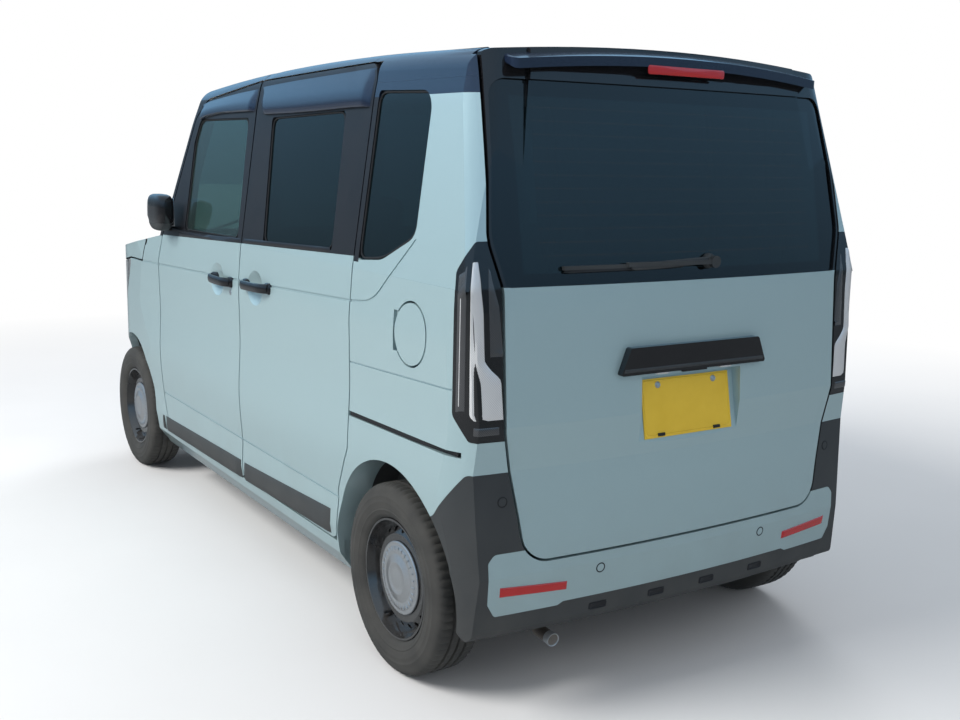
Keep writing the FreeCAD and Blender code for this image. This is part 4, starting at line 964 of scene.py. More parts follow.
def wheel_dress(end, word, x, side):
    body = f"wheel_{end}_{word}"
    out = Vector((0, side, 0))
    seat = Vector((x, side * (HALF_TRACK + CAP_SEAT), AXLE_HEIGHT))
    turned_shape(f"wheel_cap_{end}_{word}", CAP_PROFILE, seat, out, "silver", body, 56, 50.0)
    spokes = []
    for k in range(CAP_SPOKES):
        angle = 360.0 * k / CAP_SPOKES
        way = Vector((math.cos(math.radians(angle)), 0, math.sin(math.radians(angle))))
        spot = seat + way * SPOKE_REACH + out * SPOKE_SEAT
        spokes.append(moulded_block(f"spoke{k}", spot, (15, 3.6, 3.2), 1.3, "silver", body, (0, -angle, 0)))
    joined(f"cap_spokes_{end}_{word}", spokes, "silver", body)
    valve = Vector((x + VALVE_REACH * 0.5, side * (HALF_TRACK + VALVE_SEAT),
                    AXLE_HEIGHT - VALVE_REACH * 0.866))
    turned_shape(f"valve_{end}_{word}", VALVE, valve, out, "rubber_seal", body, 14)


for wheel in WHEELS:
    wheel_dress(*wheel)
print("wheel pieces:", len(named("cap", "valve")))

# %% [markdown]
# A tail lamp is a smoked lens wrapped round the corner of the body. Behind it run a tall white light guide
# that widens into a foot, a ribbed grey chamber on either side, a fine white line, and a reflector low down.
# The lens is dark, so what lies behind it reads as if it were printed on its skin. The parts are laid on it
# as thin lacquered forms, drawn square to the corner, and given real height so that they catch the light.

# %% Tail lamps
LENS = ("tail_lamps",)
GUIDE_LEFT = [(824, -664), (834, -652), (960, -650), (1160, -648), (1222, -649)]
GUIDE_RIGHT = [(824, -732), (926, -723), (955, -697), (974, -685), (1099, -678), (1180, -668), (1222, -660)]


def edge_at(line, z):
    """How far across an edge lies at one height, from its (height, across) corners."""
    for (z0, s0), (z1, s1) in zip(line, line[1:]):
        if z <= z1:
            return s0 + (s1 - s0) * (z - z0) / (z1 - z0)
    return line[-1][1]


GUIDE_FOOT, GUIDE_HEIGHT, GUIDE_STEPS = 824, 398, 40
LEVELS = [GUIDE_FOOT + GUIDE_HEIGHT * k / GUIDE_STEPS for k in range(GUIDE_STEPS + 1)]
GUIDE = ([(edge_at(GUIDE_LEFT, z), z) for z in LEVELS], [(edge_at(GUIDE_RIGHT, z), z) for z in LEVELS])
GUIDE_CROSS = [(0.0, 0.4), (0.1, 2.6), (0.5, 3.8), (0.9, 2.6), (1.0, 0.4)]
FLAT_CROSS = [(0.0, 0.3), (0.12, 1.5), (0.88, 1.5), (1.0, 0.3)]
LAMP_BANDS = {
    "guide": (*GUIDE, GUIDE_CROSS, "white_lens"),
    "outer_chamber": ([(-612, 1186), (-612, 840)], [(-636, 1212), (-638, 846)], FLAT_CROSS, "smoke_grey"),
    "inner_chamber": ([(-684, 1206), (-690, 1110), (-697, 985)], [(-688, 1200), (-712, 1110), (-726, 985)],
                      FLAT_CROSS, "smoke_grey"),
    "fine_line": ([(-620, 1150), (-620, 850)], [(-622.5, 1150), (-622.5, 850)], FLAT_CROSS, "white_lens"),
    "low_reflector": ([(-664, 806), (-724, 806)], [(-664, 785), (-724, 785)], FLAT_CROSS, "smoke_grey"),
}
for word, (low_line, high_line, cross, stuff) in LAMP_BANDS.items():
    other_side(band(f"lamp_{word}_left", low_line, high_line, cross, "corner", LENS, stuff, steps=41,
                    smooth=False))
print("lamp parts:", named("lamp"))

# %% [markdown]
# The rest of the back: a high brake lamp in the roof lip, wedge reflectors and round parking sensors in the
# bumper, small blind openings in the skirt, fixings on the plate, and two plate lamps hidden under the
# black bar with the rubber switch of the lid between them.

# %% Bumper and skirt details
INSERT, SKIRT = ("rear_bumper",), ("rear_skirt",)
REFLECTOR_CROSS = [(0.0, 0.6), (0.08, 3.2), (0.5, 4.2), (0.92, 3.2), (1.0, 0.6)]
other_side(band("reflector_left", [(622, 347), (415, 336)], [(622, 374), (415, 360)], REFLECTOR_CROSS, "rear",
                INSERT, "red_lens", steps=24, taper=7.0))
SENSOR = [(0, -1), (11.4, -1), (11.4, 0.4), (10.8, 1.0), (0, 1.4)]
SENSOR_RING = [(11.6, -1), (14.6, -1), (14.6, 0.7), (13.8, 1.2), (12.4, 1.2), (11.6, 0.7)]


def sensor(word, view, on, a, b, stuff):
    """A parking sensor: a round button in the colour of its panel, in a thin dark ring."""
    ring = button(f"sensor_ring_{word}", SENSOR_RING, view, on, a, b, "rubber_seal", "body", 28)
    return button(f"sensor_{word}", SENSOR, view, on, a, b, stuff, "body", 28), ring


for word, y in (("left", 308), ("right", -308)):
    sensor(word, "rear", INSERT, y, 381, "body_paint")
CORNER_X, CORNER_Y = -1657, 619
for thing in sensor("corner_left", "corner", SKIRT, (CORNER_X + CORNER_Y) / math.sqrt(2), 603, "trim_dark"):
    other_side(thing)
BLIND_CROSS = [(0.0, 0.5), (0.05, 2.4), (0.16, 2.4), (0.24, 0.5), (0.9, 0.5)]
blinds = [patch(f"blind{y}", plate_line(y - 30, y + 30, 259, 279, 5), BLIND_CROSS, "rear", SKIRT,
                "pillar_black") for y in (-305, -98, 98, 305)]
joined("skirt_openings", blinds, "pillar_black")
print("bumper parts:", named("sensor", "reflector_", "skirt"))

# %% High lamp, plate fixings and plate lamps
patch("high_lamp", plate_line(-140, 140, 1706, 1730, 8), [(0.0, 0.6), (0.06, 2.6), (0.3, 3.6), (0.9, 3.8)],
      "rear", ("spoiler",), "red_lens", "tailgate")
PLATE, PLATE_MIDDLE = ("number_plate",), 803.5
edge = plate_line(-161, 161, 727, 880, 9)
inner = [Vector((p.x * 0.975, PLATE_MIDDLE + (p.y - PLATE_MIDDLE) * 0.95)) for p in edge]
band("plate_border", edge, inner, [(0.0, 0.3), (0.3, 1.4), (0.7, 1.4), (1.0, 0.3)], "rear", PLATE,
     "plate_yellow", "tailgate", steps=96, loop=True)
BOLT = [(0, -1), (9.5, -1), (9.5, 1.0), (8.2, 2.2), (6.8, 2.6), (6.8, 4.6), (5.6, 5.6), (2.4, 5.6),
        (2.0, 4.4), (0, 4.4)]
bolts = [button(f"bolt{y}", BOLT, "rear", PLATE, y, 866, "silver", "tailgate") for y in (-105, 105)]
joined("plate_bolts", bolts, "silver", "tailgate")
clips = []
for y in (-105, 105):
    spot, facing = drop("rear", PLATE, y, 730)
    clips.append(moulded_block(f"clip{y}", spot / MM + facing * 1.2, (5, 26, 9), 1.6, "rubber_seal",
                               "tailgate", (0, 11, 0)))
joined("plate_clips", clips, "rubber_seal", "tailgate")
lenses = [moulded_block(f"lens{y}", (-1686, y, 907.5), (13, 44, 6), 2, "white_lens", "tailgate")
          for y in (-118, 118)]
joined("plate_lamps", lenses, "white_lens", "tailgate")
moulded_block("lid_switch", (-1685, 0, 907), (15, 92, 7), 2.5, "rubber_seal", "tailgate")
band("bar_lip", [(-262, 918), (262, 918)], [(-259, 928), (259, 928)], [(0.0, 0.5), (0.5, 2.6), (1.0, 0.5)],
     "rear", ("garnish",), "trim_dark", "tailgate", 24, 6.0)
print("lid parts:", named("plate", "lid_switch", "high", "bar_lip"))

# %% [markdown]
# The back wiper is a moulded arm over a spindle cap, with a thin rubber blade that touches the glass. Two
# longer wipers rest across the foot of the screen in front.

# %% Wipers
GLASS_BACK = ("tailgate_glass",)
SPINDLE = [(0, 0), (21, 0), (22, 4), (20, 13), (16, 18), (8, 20.5), (0, 21)]
button("wiper_spindle", SPINDLE, "rear", GLASS_BACK, -60, 1205, "trim_dark", "tailgate", 28)


def lying(view, on, line, above):
    """Points on a surface under a flat line, lifted by some millimetres."""
    found = []
    for a, b in line:
        spot, facing = drop(view, on, a, b)
        found.append(spot / MM + facing * above)
    return found


BLADE_SECTION = [(-1.2, -5), (-3.0, 1), (-4.5, 3.5), (-3.6, 6), (3.6, 6), (4.5, 3.5), (3.0, 1), (1.2, -5)]
swept("rear_blade", lying("rear", GLASS_BACK, [(40, 1193), (170, 1192), (300, 1191), (436, 1190)], 6.2),
      BLADE_SECTION, "rubber_seal", "tailgate", 30, up=(-1, 0, 0.3), ends=0.6)
swept("wiper_arm_cover", lying("rear", GLASS_BACK, [(-62, 1206), (30, 1203), (120, 1199), (226, 1196)], 14.5),
      [(-9, -4), (-10, 1), (-5, 5), (5, 5), (10, 1), (9, -4)], "trim_dark", "tailgate", 26, up=(-1, 0, 0.3),
      ends=0.5)
SCREEN = ("windscreen", "screen_frame", "bonnet")
FRONT_ARMS = {
    "driver": ([(980, -470), (960, -330), (945, -190), (935, -60)],
               [(905, -520), (902, -300), (902, -60), (905, 40)]),
    "passenger": ([(985, 40), (965, 170), (950, 300), (942, 400)],
                  [(905, 120), (903, 280), (906, 420), (915, 500)]),
}
for word, (arm_line, blade_line) in FRONT_ARMS.items():
    swept(f"screen_arm_{word}", lying("top", SCREEN, arm_line + [blade_line[2]], 9),
          [(-7, -2), (-6, 3), (6, 3), (7, -2)], "trim_dark", "body", 28, ends=0.6)
    swept(f"screen_blade_{word}", lying("top", SCREEN, blade_line, 5.5), BLADE_SECTION, "rubber_seal", "body",
          28, ends=0.6)
print("wipers:", named("blade", "arm"))

# %% [markdown]
# Small things on the sides: a dark strip of painted shade in the groove that the sliding door's rear arm runs
# in, the filler cap behind its lid, and the rubber strips that close the long joints in the roof.

# %% Side details
QUARTER = ("quarter_panels",)
TRACK_FRONT, TRACK_BACK = (-1000, 718), (-1608, 729)


def track_height(x):
    """The height of the track, which rises evenly towards the back."""
    (x0, z0), (x1, z1) = TRACK_FRONT, TRACK_BACK
    return z0 + (x - x0) * (z1 - z0) / (x1 - x0)


TRACK = [(x, track_height(x)) for x in (-1010, -1200, -1400, -1596)]
# A dark rubber strip sits 5 mm inside the groove of the track: it is painted shade that darkens the groove.
track_path = lying("left", QUARTER, [(x, z + 12) for x, z in TRACK], 0)
track_path = [Vector((p.x, p.y - 5.0, z)) for p, (x, z) in zip(track_path, TRACK)]
other_side(swept("door_track_left", track_path, [(-5.5, -7), (-5.5, 3), (5.5, 3), (5.5, -7)], "rubber_seal",
                 "body", 30, up=(0, 1, 0)))
FILLER = Vector((-1364, 706, 1007))
FILLER_CAP = [(0, -1), (30, -1), (32, 0.5), (32, 3.2), (30, 4.2), (13, 4.2), (11, 5.2), (0, 5.2)]
turned_shape("filler_cap", FILLER_CAP, FILLER, (0, 1, 0), "rubber_seal", "body", 36)
roof_line = lying("top", ("roof_panel",), [(340, 528), (-200, 540), (-800, 543), (-1420, 541)], 0.6)
other_side(swept("roof_strip_left", roof_line, [(-6, -1), (-5, 2), (0, 3), (5, 2), (6, -1)], "rubber_seal",
                 "body", 60))
print("side parts:", named("track", "filler", "strip"))

# %% [markdown]
# A door mirror is a soft rounded shell of glossy black plastic over a duller lower cup, on a short foot. It
# is folded flat against the door here, as it is when the car is locked. A block with broad rounded edges is
# smoothed by subdivision, then its lower third is drawn in to make the cup.

# %% Door mirrors
MIRROR_CENTRE, MIRROR_HALF = Vector((632, 774, 1219)), Vector((92, 35.5, 74))
MIRROR_ROUNDNESS = 4.2


def mirror_shell():
    """The folded shell, tapering forwards and down."""
    work = bmesh.new()
    bmesh.ops.create_cube(work, size=2.0)
    bmesh.ops.subdivide_edges(work, edges=work.edges[:], cuts=7, use_grid_fill=True)
    for vertex in work.verts:
        p = vertex.co.copy()
        p = p / sum(abs(c) ** MIRROR_ROUNDNESS for c in p) ** (1 / MIRROR_ROUNDNESS)
        lower = max(0.0, -p.z - 0.25)
        shape = Vector((p.x * (1 - 0.20 * lower), p.y * (1 - 0.30 * lower), p.z))
        lip = 2.6 * math.exp(-((p.z + 0.42) / 0.06) ** 2)
        forward = (6 * (1 - p.z) * 0.5, 0, 0)
        spot = Vector([c + s * h + f for c, s, h, f in zip(MIRROR_CENTRE, shape, MIRROR_HALF, forward)])
        vertex.co = (spot + Vector((p.x, p.y, 0)) * -lip) * MM
    return points_and_faces(work)


finish["mirror_shell"] = material_of("mirror_shell", mirror_mix)
shell = piece("mirror_shell_left", *mirror_shell(), "mirror_shell", "front_door_left", 60)
foot = swept("mirror_foot_left", [(690, 716, 1150), (690, 726, 1151), (682, 742, 1156), (672, 758, 1164)],
             [(-24, -11), (-26, 0), (-24, 10), (24, 10), (26, 0), (24, -11)], "trim_dark",
             "front_door_left", 16)
face = moulded_block("mirror_glass_left", (640, 739.5, 1222), (146, 3, 112), 1.4, "bowl_silver",
                     "front_door_left")
for thing in (shell, foot, face):
    other_side(thing)
for word in ("left", "right"):
    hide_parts(f"mirror_{word}")
print("mirror parts:", named("mirror"))

# %% [markdown]
# At the front, which stays out of sight in the first view, each headlamp has a projector in a bright bowl
# and a ring of light round it. Small round fog lamps sit low in the bumper.

# %% Headlamps and fog lamps
HEADLAMP, NOSE = ("headlamps",), ("front_bumper",)
LAMP_SPOT, FOG_SPOT = (505, 868), (560, 372)
RING_CROSS = [(0, 0.4), (0.25, 2.4), (0.75, 2.4), (1, 0.4)]
PROJECTOR = [(0, -2), (42, -2), (42, 0.6), (38, 2.2), (31, 0.6), (29, 2.4), (20, 4.6), (9, 5.8), (0, 6.2)]
FOG_LAMP = [(0, -2), (46, -2), (46, 0.8), (43, 2.6), (36, 2.6), (33, 0.4), (30, 0.4), (20, 2.4), (0, 3.4)]
rings = [[(LAMP_SPOT[0] + a, LAMP_SPOT[1] + b) for a, b in round_section(radius, 40)] for radius in (58, 49)]
other_side(band("light_ring_left", *rings, RING_CROSS, "front", HEADLAMP, "white_lens", steps=48, loop=True))
other_side(button("projector_left", PROJECTOR, "front", HEADLAMP, *LAMP_SPOT, "bowl_silver", "body", 40))
other_side(band("turn_lamp_left", [(420, 820), (372, 822)], [(420, 912), (372, 914)], FLAT_CROSS, "front",
                HEADLAMP, "amber_lens", steps=16, taper=6.0))
other_side(button("fog_lamp_left", FOG_LAMP, "front", NOSE, *FOG_SPOT, "smoke_grey", "body", 40))
print("front lamps:", named("light_ring", "projector", "fog", "turn"))

# %% [markdown]
# The seats are the soft part of the car, and a block with rounded corners would never pass for one. Each
# cushion starts as a slightly small, evenly meshed form. Cloth is put over it, held along its seams, and
# blown up a little with air pressure, as foam fills a cover. Where it is held it stays in, so the panels
# between the seams swell and the sewn channels appear by themselves. The result is fixed in the mesh, and
# no simulation is left on the piece.

# %% Seat forms
FRONT_SEAT = {
    "cushion": [(-186, 452), (306, 470), (312, 592), (-186, 574)],
    "back": [(-178, 560), (-78, 560), (-222, 1140), (-312, 1140)],
    "head": [(-310, 1184), (-240, 1184), (-262, 1322), (-324, 1322)],
}
REAR_SEAT = {
    "cushion": [(-1010, 482), (-530, 500), (-524, 622), (-1010, 604)],
    "back": [(-1008, 590), (-908, 590), (-1052, 1120), (-1142, 1120)],
    "head": [(-1140, 1160), (-1068, 1160), (-1090, 1282), (-1154, 1282)],
}
GRID = 26
SEAM_HALF, SEAM_DIP = 0.041, 5.0
SEAT_ROUNDNESS = 5


def seat_form(name, side_view, y0, y1, seams_along, seams_across):
    """A rounded form from its four corners in side view, and the points that its seams hold."""
    work = bmesh.new()
    bmesh.ops.create_cube(work, size=2.0)
    bmesh.ops.subdivide_edges(work, edges=work.edges[:], cuts=GRID - 1, use_grid_fill=True)
    low_back, low_front, high_front, high_back = [Vector(p) for p in side_view]
    held = []
    work.verts.index_update()
    for vertex in work.verts:
        p = vertex.co.copy()
        edges = sum(abs(abs(c) - 1.0) < 1e-4 for c in p) >= 2
        lines = abs(abs(p.z) - 1.0) < 1e-4 and (any(abs(p.y - s) < SEAM_HALF for s in seams_along)
                                                or any(abs(p.x - s) < SEAM_HALF for s in seams_across))
        if edges or lines:
            held.append(vertex.index)
        q = p / sum(abs(c) ** SEAT_ROUNDNESS for c in p) ** (1 / SEAT_ROUNDNESS)
        along = (q.x + 1) / 2
        place = low_back.lerp(low_front, along).lerp(high_back.lerp(high_front, along), (q.z + 1) / 2)
        dip = SEAM_DIP if lines and not edges else 0.0
        vertex.co = Vector((place.x, (y0 + y1) / 2 + q.y * (y1 - y0) / 2, place.y - dip * q.z)) * MM
    return piece(name, *points_and_faces(work), "seat_cloth", "body", 180.0), held


print("seat forms:", list(FRONT_SEAT))

# %% Blowing up the covers
FRAMES, CAP, PRESSURE = 14, 0.016, 5.0


def blown_up(thing, held):
    """Cloth held at its seams and filled with air; the swollen shape is kept in the mesh."""
    rest = [v.co.copy() for v in thing.data.vertices]
    group = thing.vertex_groups.new(name="seams")
    group.add(held, 1.0, "REPLACE")
    cloth = thing.modifiers.new("cover", "CLOTH")
    settings = cloth.settings
    settings.quality = 5
    settings.mass = 0.3
    settings.tension_stiffness = settings.compression_stiffness = 8.0
    settings.bending_stiffness = 0.6
    settings.use_pressure = True
    settings.uniform_pressure_force = PRESSURE
    settings.vertex_group_mass = "seams"
    settings.effector_weights.gravity = 0.0
    cloth.point_cache.frame_start, cloth.point_cache.frame_end = 1, FRAMES
    for number in range(1, FRAMES + 1):
        scene.frame_set(number)
    swollen = thing.evaluated_get(bpy.context.evaluated_depsgraph_get()).to_mesh()
    for vertex, now, was in zip(thing.data.vertices, swollen.vertices, rest):
        move = now.co - was
        vertex.co = was + move * min(1.0, CAP / max(move.length, 1e-9))
    thing.modifiers.clear()
    thing.vertex_groups.clear()
    scene.frame_set(1)
    grown = max((v.co - was).length for v, was in zip(thing.data.vertices, rest))
    print(thing.name, "swelled by", round(grown / MM, 1), "mm")


FRONT_SEAT_Y, REAR_SEAT_Y = (52, 513), (10, 524)


def seat_set(word, forms, y_range, node):
    """One seat: cushion, back and headrest, then the same mesh mirrored for the other side."""
    y0, y1 = y_range
    wide = y1 - y0
    layouts = {
        "cushion": (y0, y1, (-0.62, 0.62), (-0.30, 0.38)),
        "back": (y0, y1, (-0.60, 0.60), ()),
        "head": (y0 + wide * 0.24, y1 - wide * 0.24, (), ()),
    }
    for part, (low_y, high_y, along, across) in layouts.items():
        thing, held = seat_form(f"{word}_{part}_left", forms[part], low_y, high_y, along, across)
        blown_up(thing, held)
        twin = other_side(thing)
        shade(twin, 180.0)
        for each in (thing, twin):
            smooth = each.modifiers.new("fine", "SUBSURF")
            smooth.levels = smooth.render_levels = 1
            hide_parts(node)


seat_set("front_seat", FRONT_SEAT, FRONT_SEAT_Y, "front_seats")
seat_set("rear_seat", REAR_SEAT, REAR_SEAT_Y, "rear_seat")
print("seat pieces:", named("seat"))

# %% [markdown]
# Under each seat is what carries it: two runners on the floor with a plastic side cover, and a pair of
# steel posts that hold the headrest. The lap and shoulder belt of each front seat hangs from the centre
# pillar.

# %% Seat bases, posts and belts
POST = [(0, 0), (6, 0), (6, 92), (0, 92)]


def seat_hardware(word, x_range, y_range, z_range, head):
    """Runners, side covers and a pan under the cushion, and the two posts under the headrest."""
    (x0, x1), (y0, y1), (floor_z, top_z), (head_x, head_y, head_z) = x_range, y_range, z_range, head
    x, long, tall = (x0 + x1) / 2, x1 - x0, top_z - floor_z
    middle = (floor_z + top_z) / 2 + 12
    parts = [moulded_block(f"{word}_rail{y}", (x, y, floor_z + 12), (long, 34, 24), 3, "trim_dark")
             for y in (y0 + 70, y1 - 70)]
    parts += [moulded_block(f"{word}_cover{y}", (x, y, middle), (long - 40, 26, tall - 30), 9,
                            "cabin_plastic") for y in (y0 + 34, y1 - 34)]
    parts.append(moulded_block(f"{word}_pan", (x, (y0 + y1) / 2, top_z - 16), (long, y1 - y0 - 60, 26), 8,
                               "cabin_plastic"))
    base = joined(f"{word}_base_left", parts, "cabin_plastic")
    posts = [turned_shape(f"{word}_post{y}", POST, (head_x, y, head_z), (-0.1, 0, 1), "silver", "body", 14)
             for y in (head_y - 52, head_y + 52)]
    stand = joined(f"{word}_posts_left", posts, "silver")
    for thing in (base, stand):
        other_side(thing)


seat_hardware("front_seat", (-150, 270), FRONT_SEAT_Y, (268, 468), (-262, 282, 1118))
seat_hardware("rear_seat", (-960, -580), REAR_SEAT_Y, (268, 498), (-1094, 267, 1098))
BELT = [(-150, 596, 1440), (-156, 594, 1200), (-160, 590, 900), (-170, 580, 640), (-180, 570, 500)]
BELT_SECTION = [(-1.2, -23), (-1.6, 0), (-1.2, 23), (1.2, 23), (1.6, 0), (1.2, -23)]
other_side(swept("seat_belt_left", BELT, BELT_SECTION, "trim_dark", "body", 36, up=(1, 0, 0)))
print("hardware:", named("base", "post", "seat_belt"))

# %% [markdown]
# The dashboard is one moulding in the solids. What makes it read as a dashboard is small: a screen in the
# middle, four air vents with slats, a cowl over the instruments, a short gear lever, and pedals. What lies on
# its rear face is dropped onto it from inside the cabin, in the same way as the outside trim. The room mirror
# and the arm rests of the doors are small blocks.

# %% Dashboard details
VIEWS["cabin"] = (Vector((0.25, 0, 0)), Vector((0, 1, 0)), UP_Z, REAR)
DASH = ("dashboard",)
SCREEN_CROSS = [(0.0, 3.0), (0.04, 9.0), (0.09, 9.0), (0.12, 7.6), (0.9, 7.6)]
VENT_CROSS = [(0.0, 1.0), (0.06, 6.0), (0.16, 6.0), (0.24, 1.5), (0.9, 1.5)]
SLAT_CROSS = [(0, 2.0), (0.5, 5.0), (1, 2.0)]
KNOB = [(0, -4), (12, -4), (19, 8), (21, 22), (18, 36), (9, 44), (0, 45)]
patch("dash_screen", plate_line(-112, 112, 905, 1010, 10), SCREEN_CROSS, "cabin", DASH, "gloss_black")
vents = []
for y in (-545, -178, 178, 545):
    vents.append(patch(f"vent{y}", plate_line(y - 48, y + 48, 930, 992, 10), VENT_CROSS, "cabin", DASH,
                       "trim_dark"))
    for z in (946, 961, 976):
        low, high = [[(y - 34, edge_z), (y + 34, edge_z)] for edge_z in (z - 2, z + 2)]
        vents.append(band(f"slat{y}{z}", low, high, SLAT_CROSS, "cabin", DASH, "trim_dark", "body", 6, 2.0))
joined("dash_vents", vents, "trim_dark")
lever_spot = drop("cabin", DASH, -150, 850)[0] / MM
lever_path = [lever_spot + Vector(p) for p in ((0, 0, 0), (-40, 0, 8), (-80, 0, 26), (-104, 0, 44))]
swept("gear_lever", lever_path, round_section(7, 10), "trim_dark", "body", 18)
knob_spot = lever_spot + Vector((-102, 0, 40))
turned_shape("gear_knob", KNOB, knob_spot, (-0.5, 0, 0.87), "gloss_black", "body", 28)
moulded_block("instrument_cowl", (560, -345, 1070), (110, 280, 26), 10, "cabin_plastic", "body", (0, -8, 0))
pedals = [moulded_block(f"pedal{y}", (748, y, z), (12, wide, 62), 4, "rubber_seal", "body", (0, -35, 0))
          for y, z, wide in ((-425, 400, 46), (-325, 422, 92))]
joined("pedals", pedals, "rubber_seal")
moulded_block("room_mirror", (640, 0, 1560), (20, 236, 60), 9, "gloss_black", "body", (0, 14, 0))
swept("room_mirror_stem", [(648, 0, 1568), (662, 0, 1590), (672, 0, 1612)], round_section(7, 10), "trim_dark",
      "body", 10)
for word, x, z, body in (("front", 250, 760, "front_door_left"), ("sliding", -560, 790, "body")):
    other_side(moulded_block(f"arm_rest_{word}_left", (x, 584, z), (300, 30, 58), 12, "cabin_plastic", body))
print("cabin parts:", named("dash", "gear", "cowl", "room_mirror", "pedal", "arm_rest"))

# %% [markdown]
# The underside and the engine room stay plain in the solids. A few working parts give them scale: coil
# springs round the struts and on the rear beam, straps under the fuel tank, rubber hangers and a bright lip
# on the exhaust, and a ribbed cover, an oil cap and a battery in the engine room.

# %% Springs and underside
def coil(name, foot, top, radius, wire, turns, body):
    """A coil spring drawn as one long round wire."""
    foot, top = Vector(foot), Vector(top)
    axis = (top - foot).normalized()
    side = axis.orthogonal().normalized()
    up = axis.cross(side)
    count = turns * 16
    line = []
    for i in range(count + 1):
        share = i / count
        angle = 2 * math.pi * turns * share
        here = foot.lerp(top, share) + side * (radius * math.cos(angle))
        line.append(here + up * (radius * math.sin(angle)))
    return swept(name, line, round_section(wire, 8), "trim_dark", body, count, up=tuple(axis))


other_side(coil("front_spring_left", (1262.5, 527, 656), (1262.5, 522, 806), 56, 5.5, 6, "knuckle_left"))
other_side(coil("rear_spring_left", (-1227.5, 470, 270), (-1227.5, 470, 394), 52, 6, 5, "body"))
straps = [moulded_block(f"strap{x}", (x, 0, 152.5), (34, 640, 5), 1.5, "trim_dark") for x in (-180, 180)]
joined("tank_straps", straps, "trim_dark")
hangers = [moulded_block(f"hanger{k}", spot, (16, 30, 26), 5, "rubber_seal") for k, spot in
           enumerate(((-1420, 320, 392), (-1560, 250, 392), (-300, 370, 236)))]
joined("exhaust_hangers", hangers, "rubber_seal")
PIPE_LIP = [(14.5, -22), (18.6, -22), (19.2, -4), (18.8, 0), (17.2, 0), (14.5, -3)]
turned_shape("tail_pipe_lip", PIPE_LIP, (-1661, 440, 188), (-1, 0, -0.06), "silver", "body", 32)
print("underside parts:", named("spring", "straps", "hangers", "pipe"))

# %% Engine room
cover = [moulded_block("cover_plate", (1220, -20, 752), (330, 470, 26), 10, "trim_dark")]
cover += [moulded_block(f"cover_rib{y}", (1220, y, 767), (290, 16, 12), 4, "trim_dark")
          for y in range(-180, 181, 60)]
joined("engine_cover", cover, "trim_dark")
OIL_CAP = [(0, 0), (24, 0), (26, 4), (24, 14), (8, 16), (0, 16)]
turned_shape("oil_cap", OIL_CAP, (1330, 150, 765), (0, 0, 1), "rubber_seal", "body", 24)
moulded_block("battery", (1290, 470, 700), (180, 128, 180), 6, "trim_dark")
TERMINAL = [(0, 0), (8, 0), (7, 14), (0, 14)]
terminals = [turned_shape(f"terminal{x}", TERMINAL, (x, 470, 790), (0, 0, 1), "silver", "body", 14)
             for x in (1230, 1350)]
joined("battery_posts", terminals, "silver")
print("engine room:", named("engine", "oil", "battery"))

# %% [markdown]
# The car stands on a plain pale floor under plain soft light: one large lamp high on the left, a weaker one
# at the front right, a faint one behind, and an even sky that fills the shadows. At this level a colour
# renders about as it is written. What the camera sees behind the car is white. What shiny paint and glass
# see is a summer sky over a dark horizon and grey ground, which keeps the blacks deep and the roof bluish.

# %% Floor, light and backdrop
GROUND_SEEN = (0.13, 0.16, 0.18)
HORIZON_SEEN = (0.10, 0.15, 0.19)
SKY_SEEN = (0.32, 0.64, 0.98)
ZENITH_SEEN = (0.60, 0.78, 0.96)
FLOOR_REACH, FADE_START, FADE_RATE = 40.0, 2.6, 0.28
GROUND_SHARE = 0.75


def ray_kinds(tree):
    """1 for rays that come from the camera or through glass, and 1 for rays that come from a reflection."""
    path = tree.nodes.new("ShaderNodeLightPath")
    direct = (Wire(path.outputs["Is Camera Ray"]) + Wire(path.outputs["Is Transmission Ray"])).clear()
    return direct, Wire(path.outputs["Is Glossy Ray"])


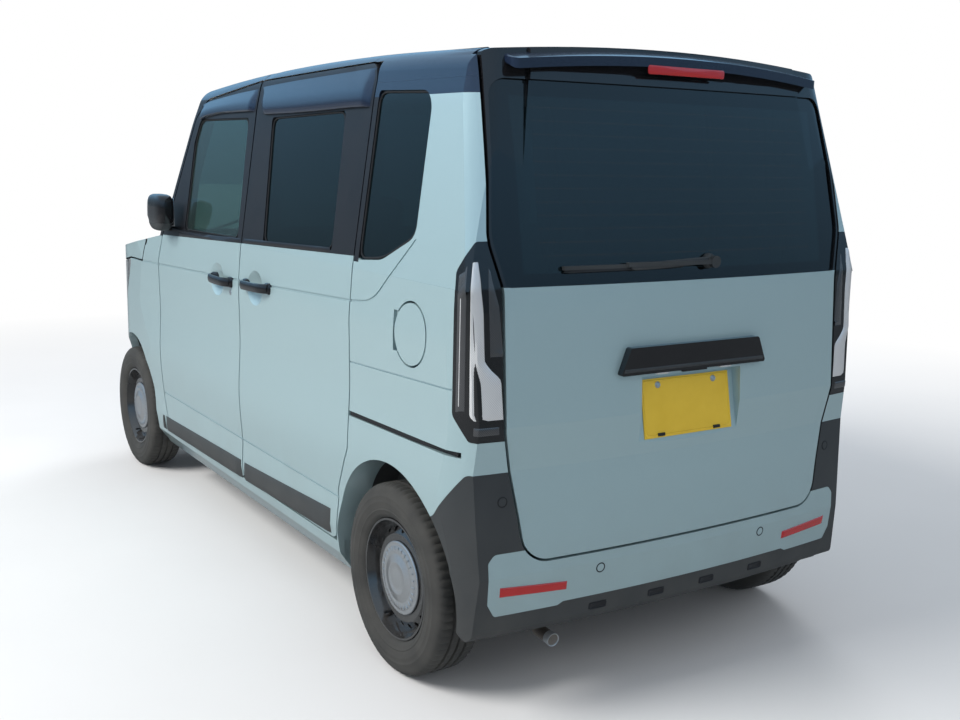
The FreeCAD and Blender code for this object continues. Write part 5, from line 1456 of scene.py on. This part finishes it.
def floor_plate():
    """A broad pale floor that keeps the shadow and fades to white a few metres out."""
    material, shader, place, facing = start("floor")
    cloud = place.grain(1.3, 4)
    made = recipe(mixed(cloud, (0.70, 0.70, 0.70), (0.76, 0.76, 0.76)), 0.75 + cloud * 0.1, 0.0, 0.0,
                  place.grain(40, 3) * 0.0002)
    put_on(shader, place, made)
    tree = material.node_tree
    distance = place.node("ShaderNodeVectorMath", {"operation": "LENGTH"}, {0: place}, out=1)
    far = ((distance - FADE_START) * FADE_RATE).clear()
    direct, mirrored_ray = ray_kinds(tree)
    white = place.node("ShaderNodeEmission", None, {"Color": (1.0, 1.0, 1.0), "Strength": 1.0})
    ground = place.node("ShaderNodeEmission", None, {"Color": GROUND_SEEN, "Strength": 1.0})
    faded = place.node("ShaderNodeMixShader", None, {0: far * direct, 1: Wire(shader.outputs[0]), 2: white})
    shown = place.node("ShaderNodeMixShader", None, {0: mirrored_ray * GROUND_SHARE, 1: faded, 2: ground})
    tree.links.new(shown.socket, tree.nodes["Material Output"].inputs["Surface"])
    mesh = bpy.data.meshes.new("floor")
    corners = [(FLOOR_REACH * x, FLOOR_REACH * y, 0) for x, y in ((-1, -1), (1, -1), (1, 1), (-1, 1))]
    mesh.from_pydata(corners, [], [(0, 1, 2, 3)])
    floor = bpy.data.objects.new("floor", mesh)
    scene.collection.objects.link(floor)
    mesh.materials.append(material)
    floor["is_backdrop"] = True


LAMPS = {
    "key_lamp": ((0.5, 6.5, 5.5), 720, (1.0, 0.98, 0.95)),
    "fill_lamp": ((4.5, -5.5, 4.5), 260, (0.94, 0.97, 1.0)),
    "back_lamp": ((-6.5, 0.5, 4.0), 45, (0.97, 0.98, 1.0)),
}
LAMP_AIM, LAMP_SIZE = Vector((0, 0, 0.8)), 4.0


def soft_lamp(name, place, power, colour):
    """A round lamp that lights surfaces. Reflections and glass don't show it, since it would glare there."""
    data = bpy.data.lights.new(name, "AREA")
    data.shape, data.size, data.energy, data.color = "DISK", LAMP_SIZE, power, colour
    lamp = bpy.data.objects.new(name, data)
    scene.collection.objects.link(lamp)
    lamp.location = place
    lamp.rotation_euler = (LAMP_AIM - Vector(place)).to_track_quat("-Z", "Y").to_euler()
    lamp.visible_glossy = lamp.visible_transmission = False


def sky():
    """Even studio light, white behind the car, and a summer sky for whatever reflects it."""
    world = bpy.data.worlds.new("studio")
    scene.world = world
    world.use_nodes = True
    tree = world.node_tree
    direct, mirrored_ray = ray_kinds(tree)
    spot = tree.nodes.new("ShaderNodeTexCoord")
    rise = Wire(spot.outputs["Generated"]).parts()[2]
    reflected = mixed((rise * 3.2).clear(), HORIZON_SEEN, SKY_SEEN)
    reflected = mixed(((rise - 0.3) * 1.6).clear(), reflected, ZENITH_SEEN)
    ground = tree.nodes["Background"]
    colour = mixed(direct, (0.86, 0.92, 1.0), (1.0, 1.0, 1.0))
    plug(ground.inputs["Color"], mixed(mirrored_ray, colour, reflected))
    plug(ground.inputs["Strength"], mixed((direct + mirrored_ray).clear(), 0.54, 1.0))


floor_plate()
for name, lamp_setting in LAMPS.items():
    soft_lamp(name, *lamp_setting)
sky()
scene.view_settings.view_transform = "Standard"
print("lamps:", len(bpy.data.lights))

# %% [markdown]
# Last, the size of the dressed car is printed.

# %% Size and finish
low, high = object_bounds()
print("pieces made:", len(made_pieces), "dressed box", [round(v, 3) for v in (*low, *high)])
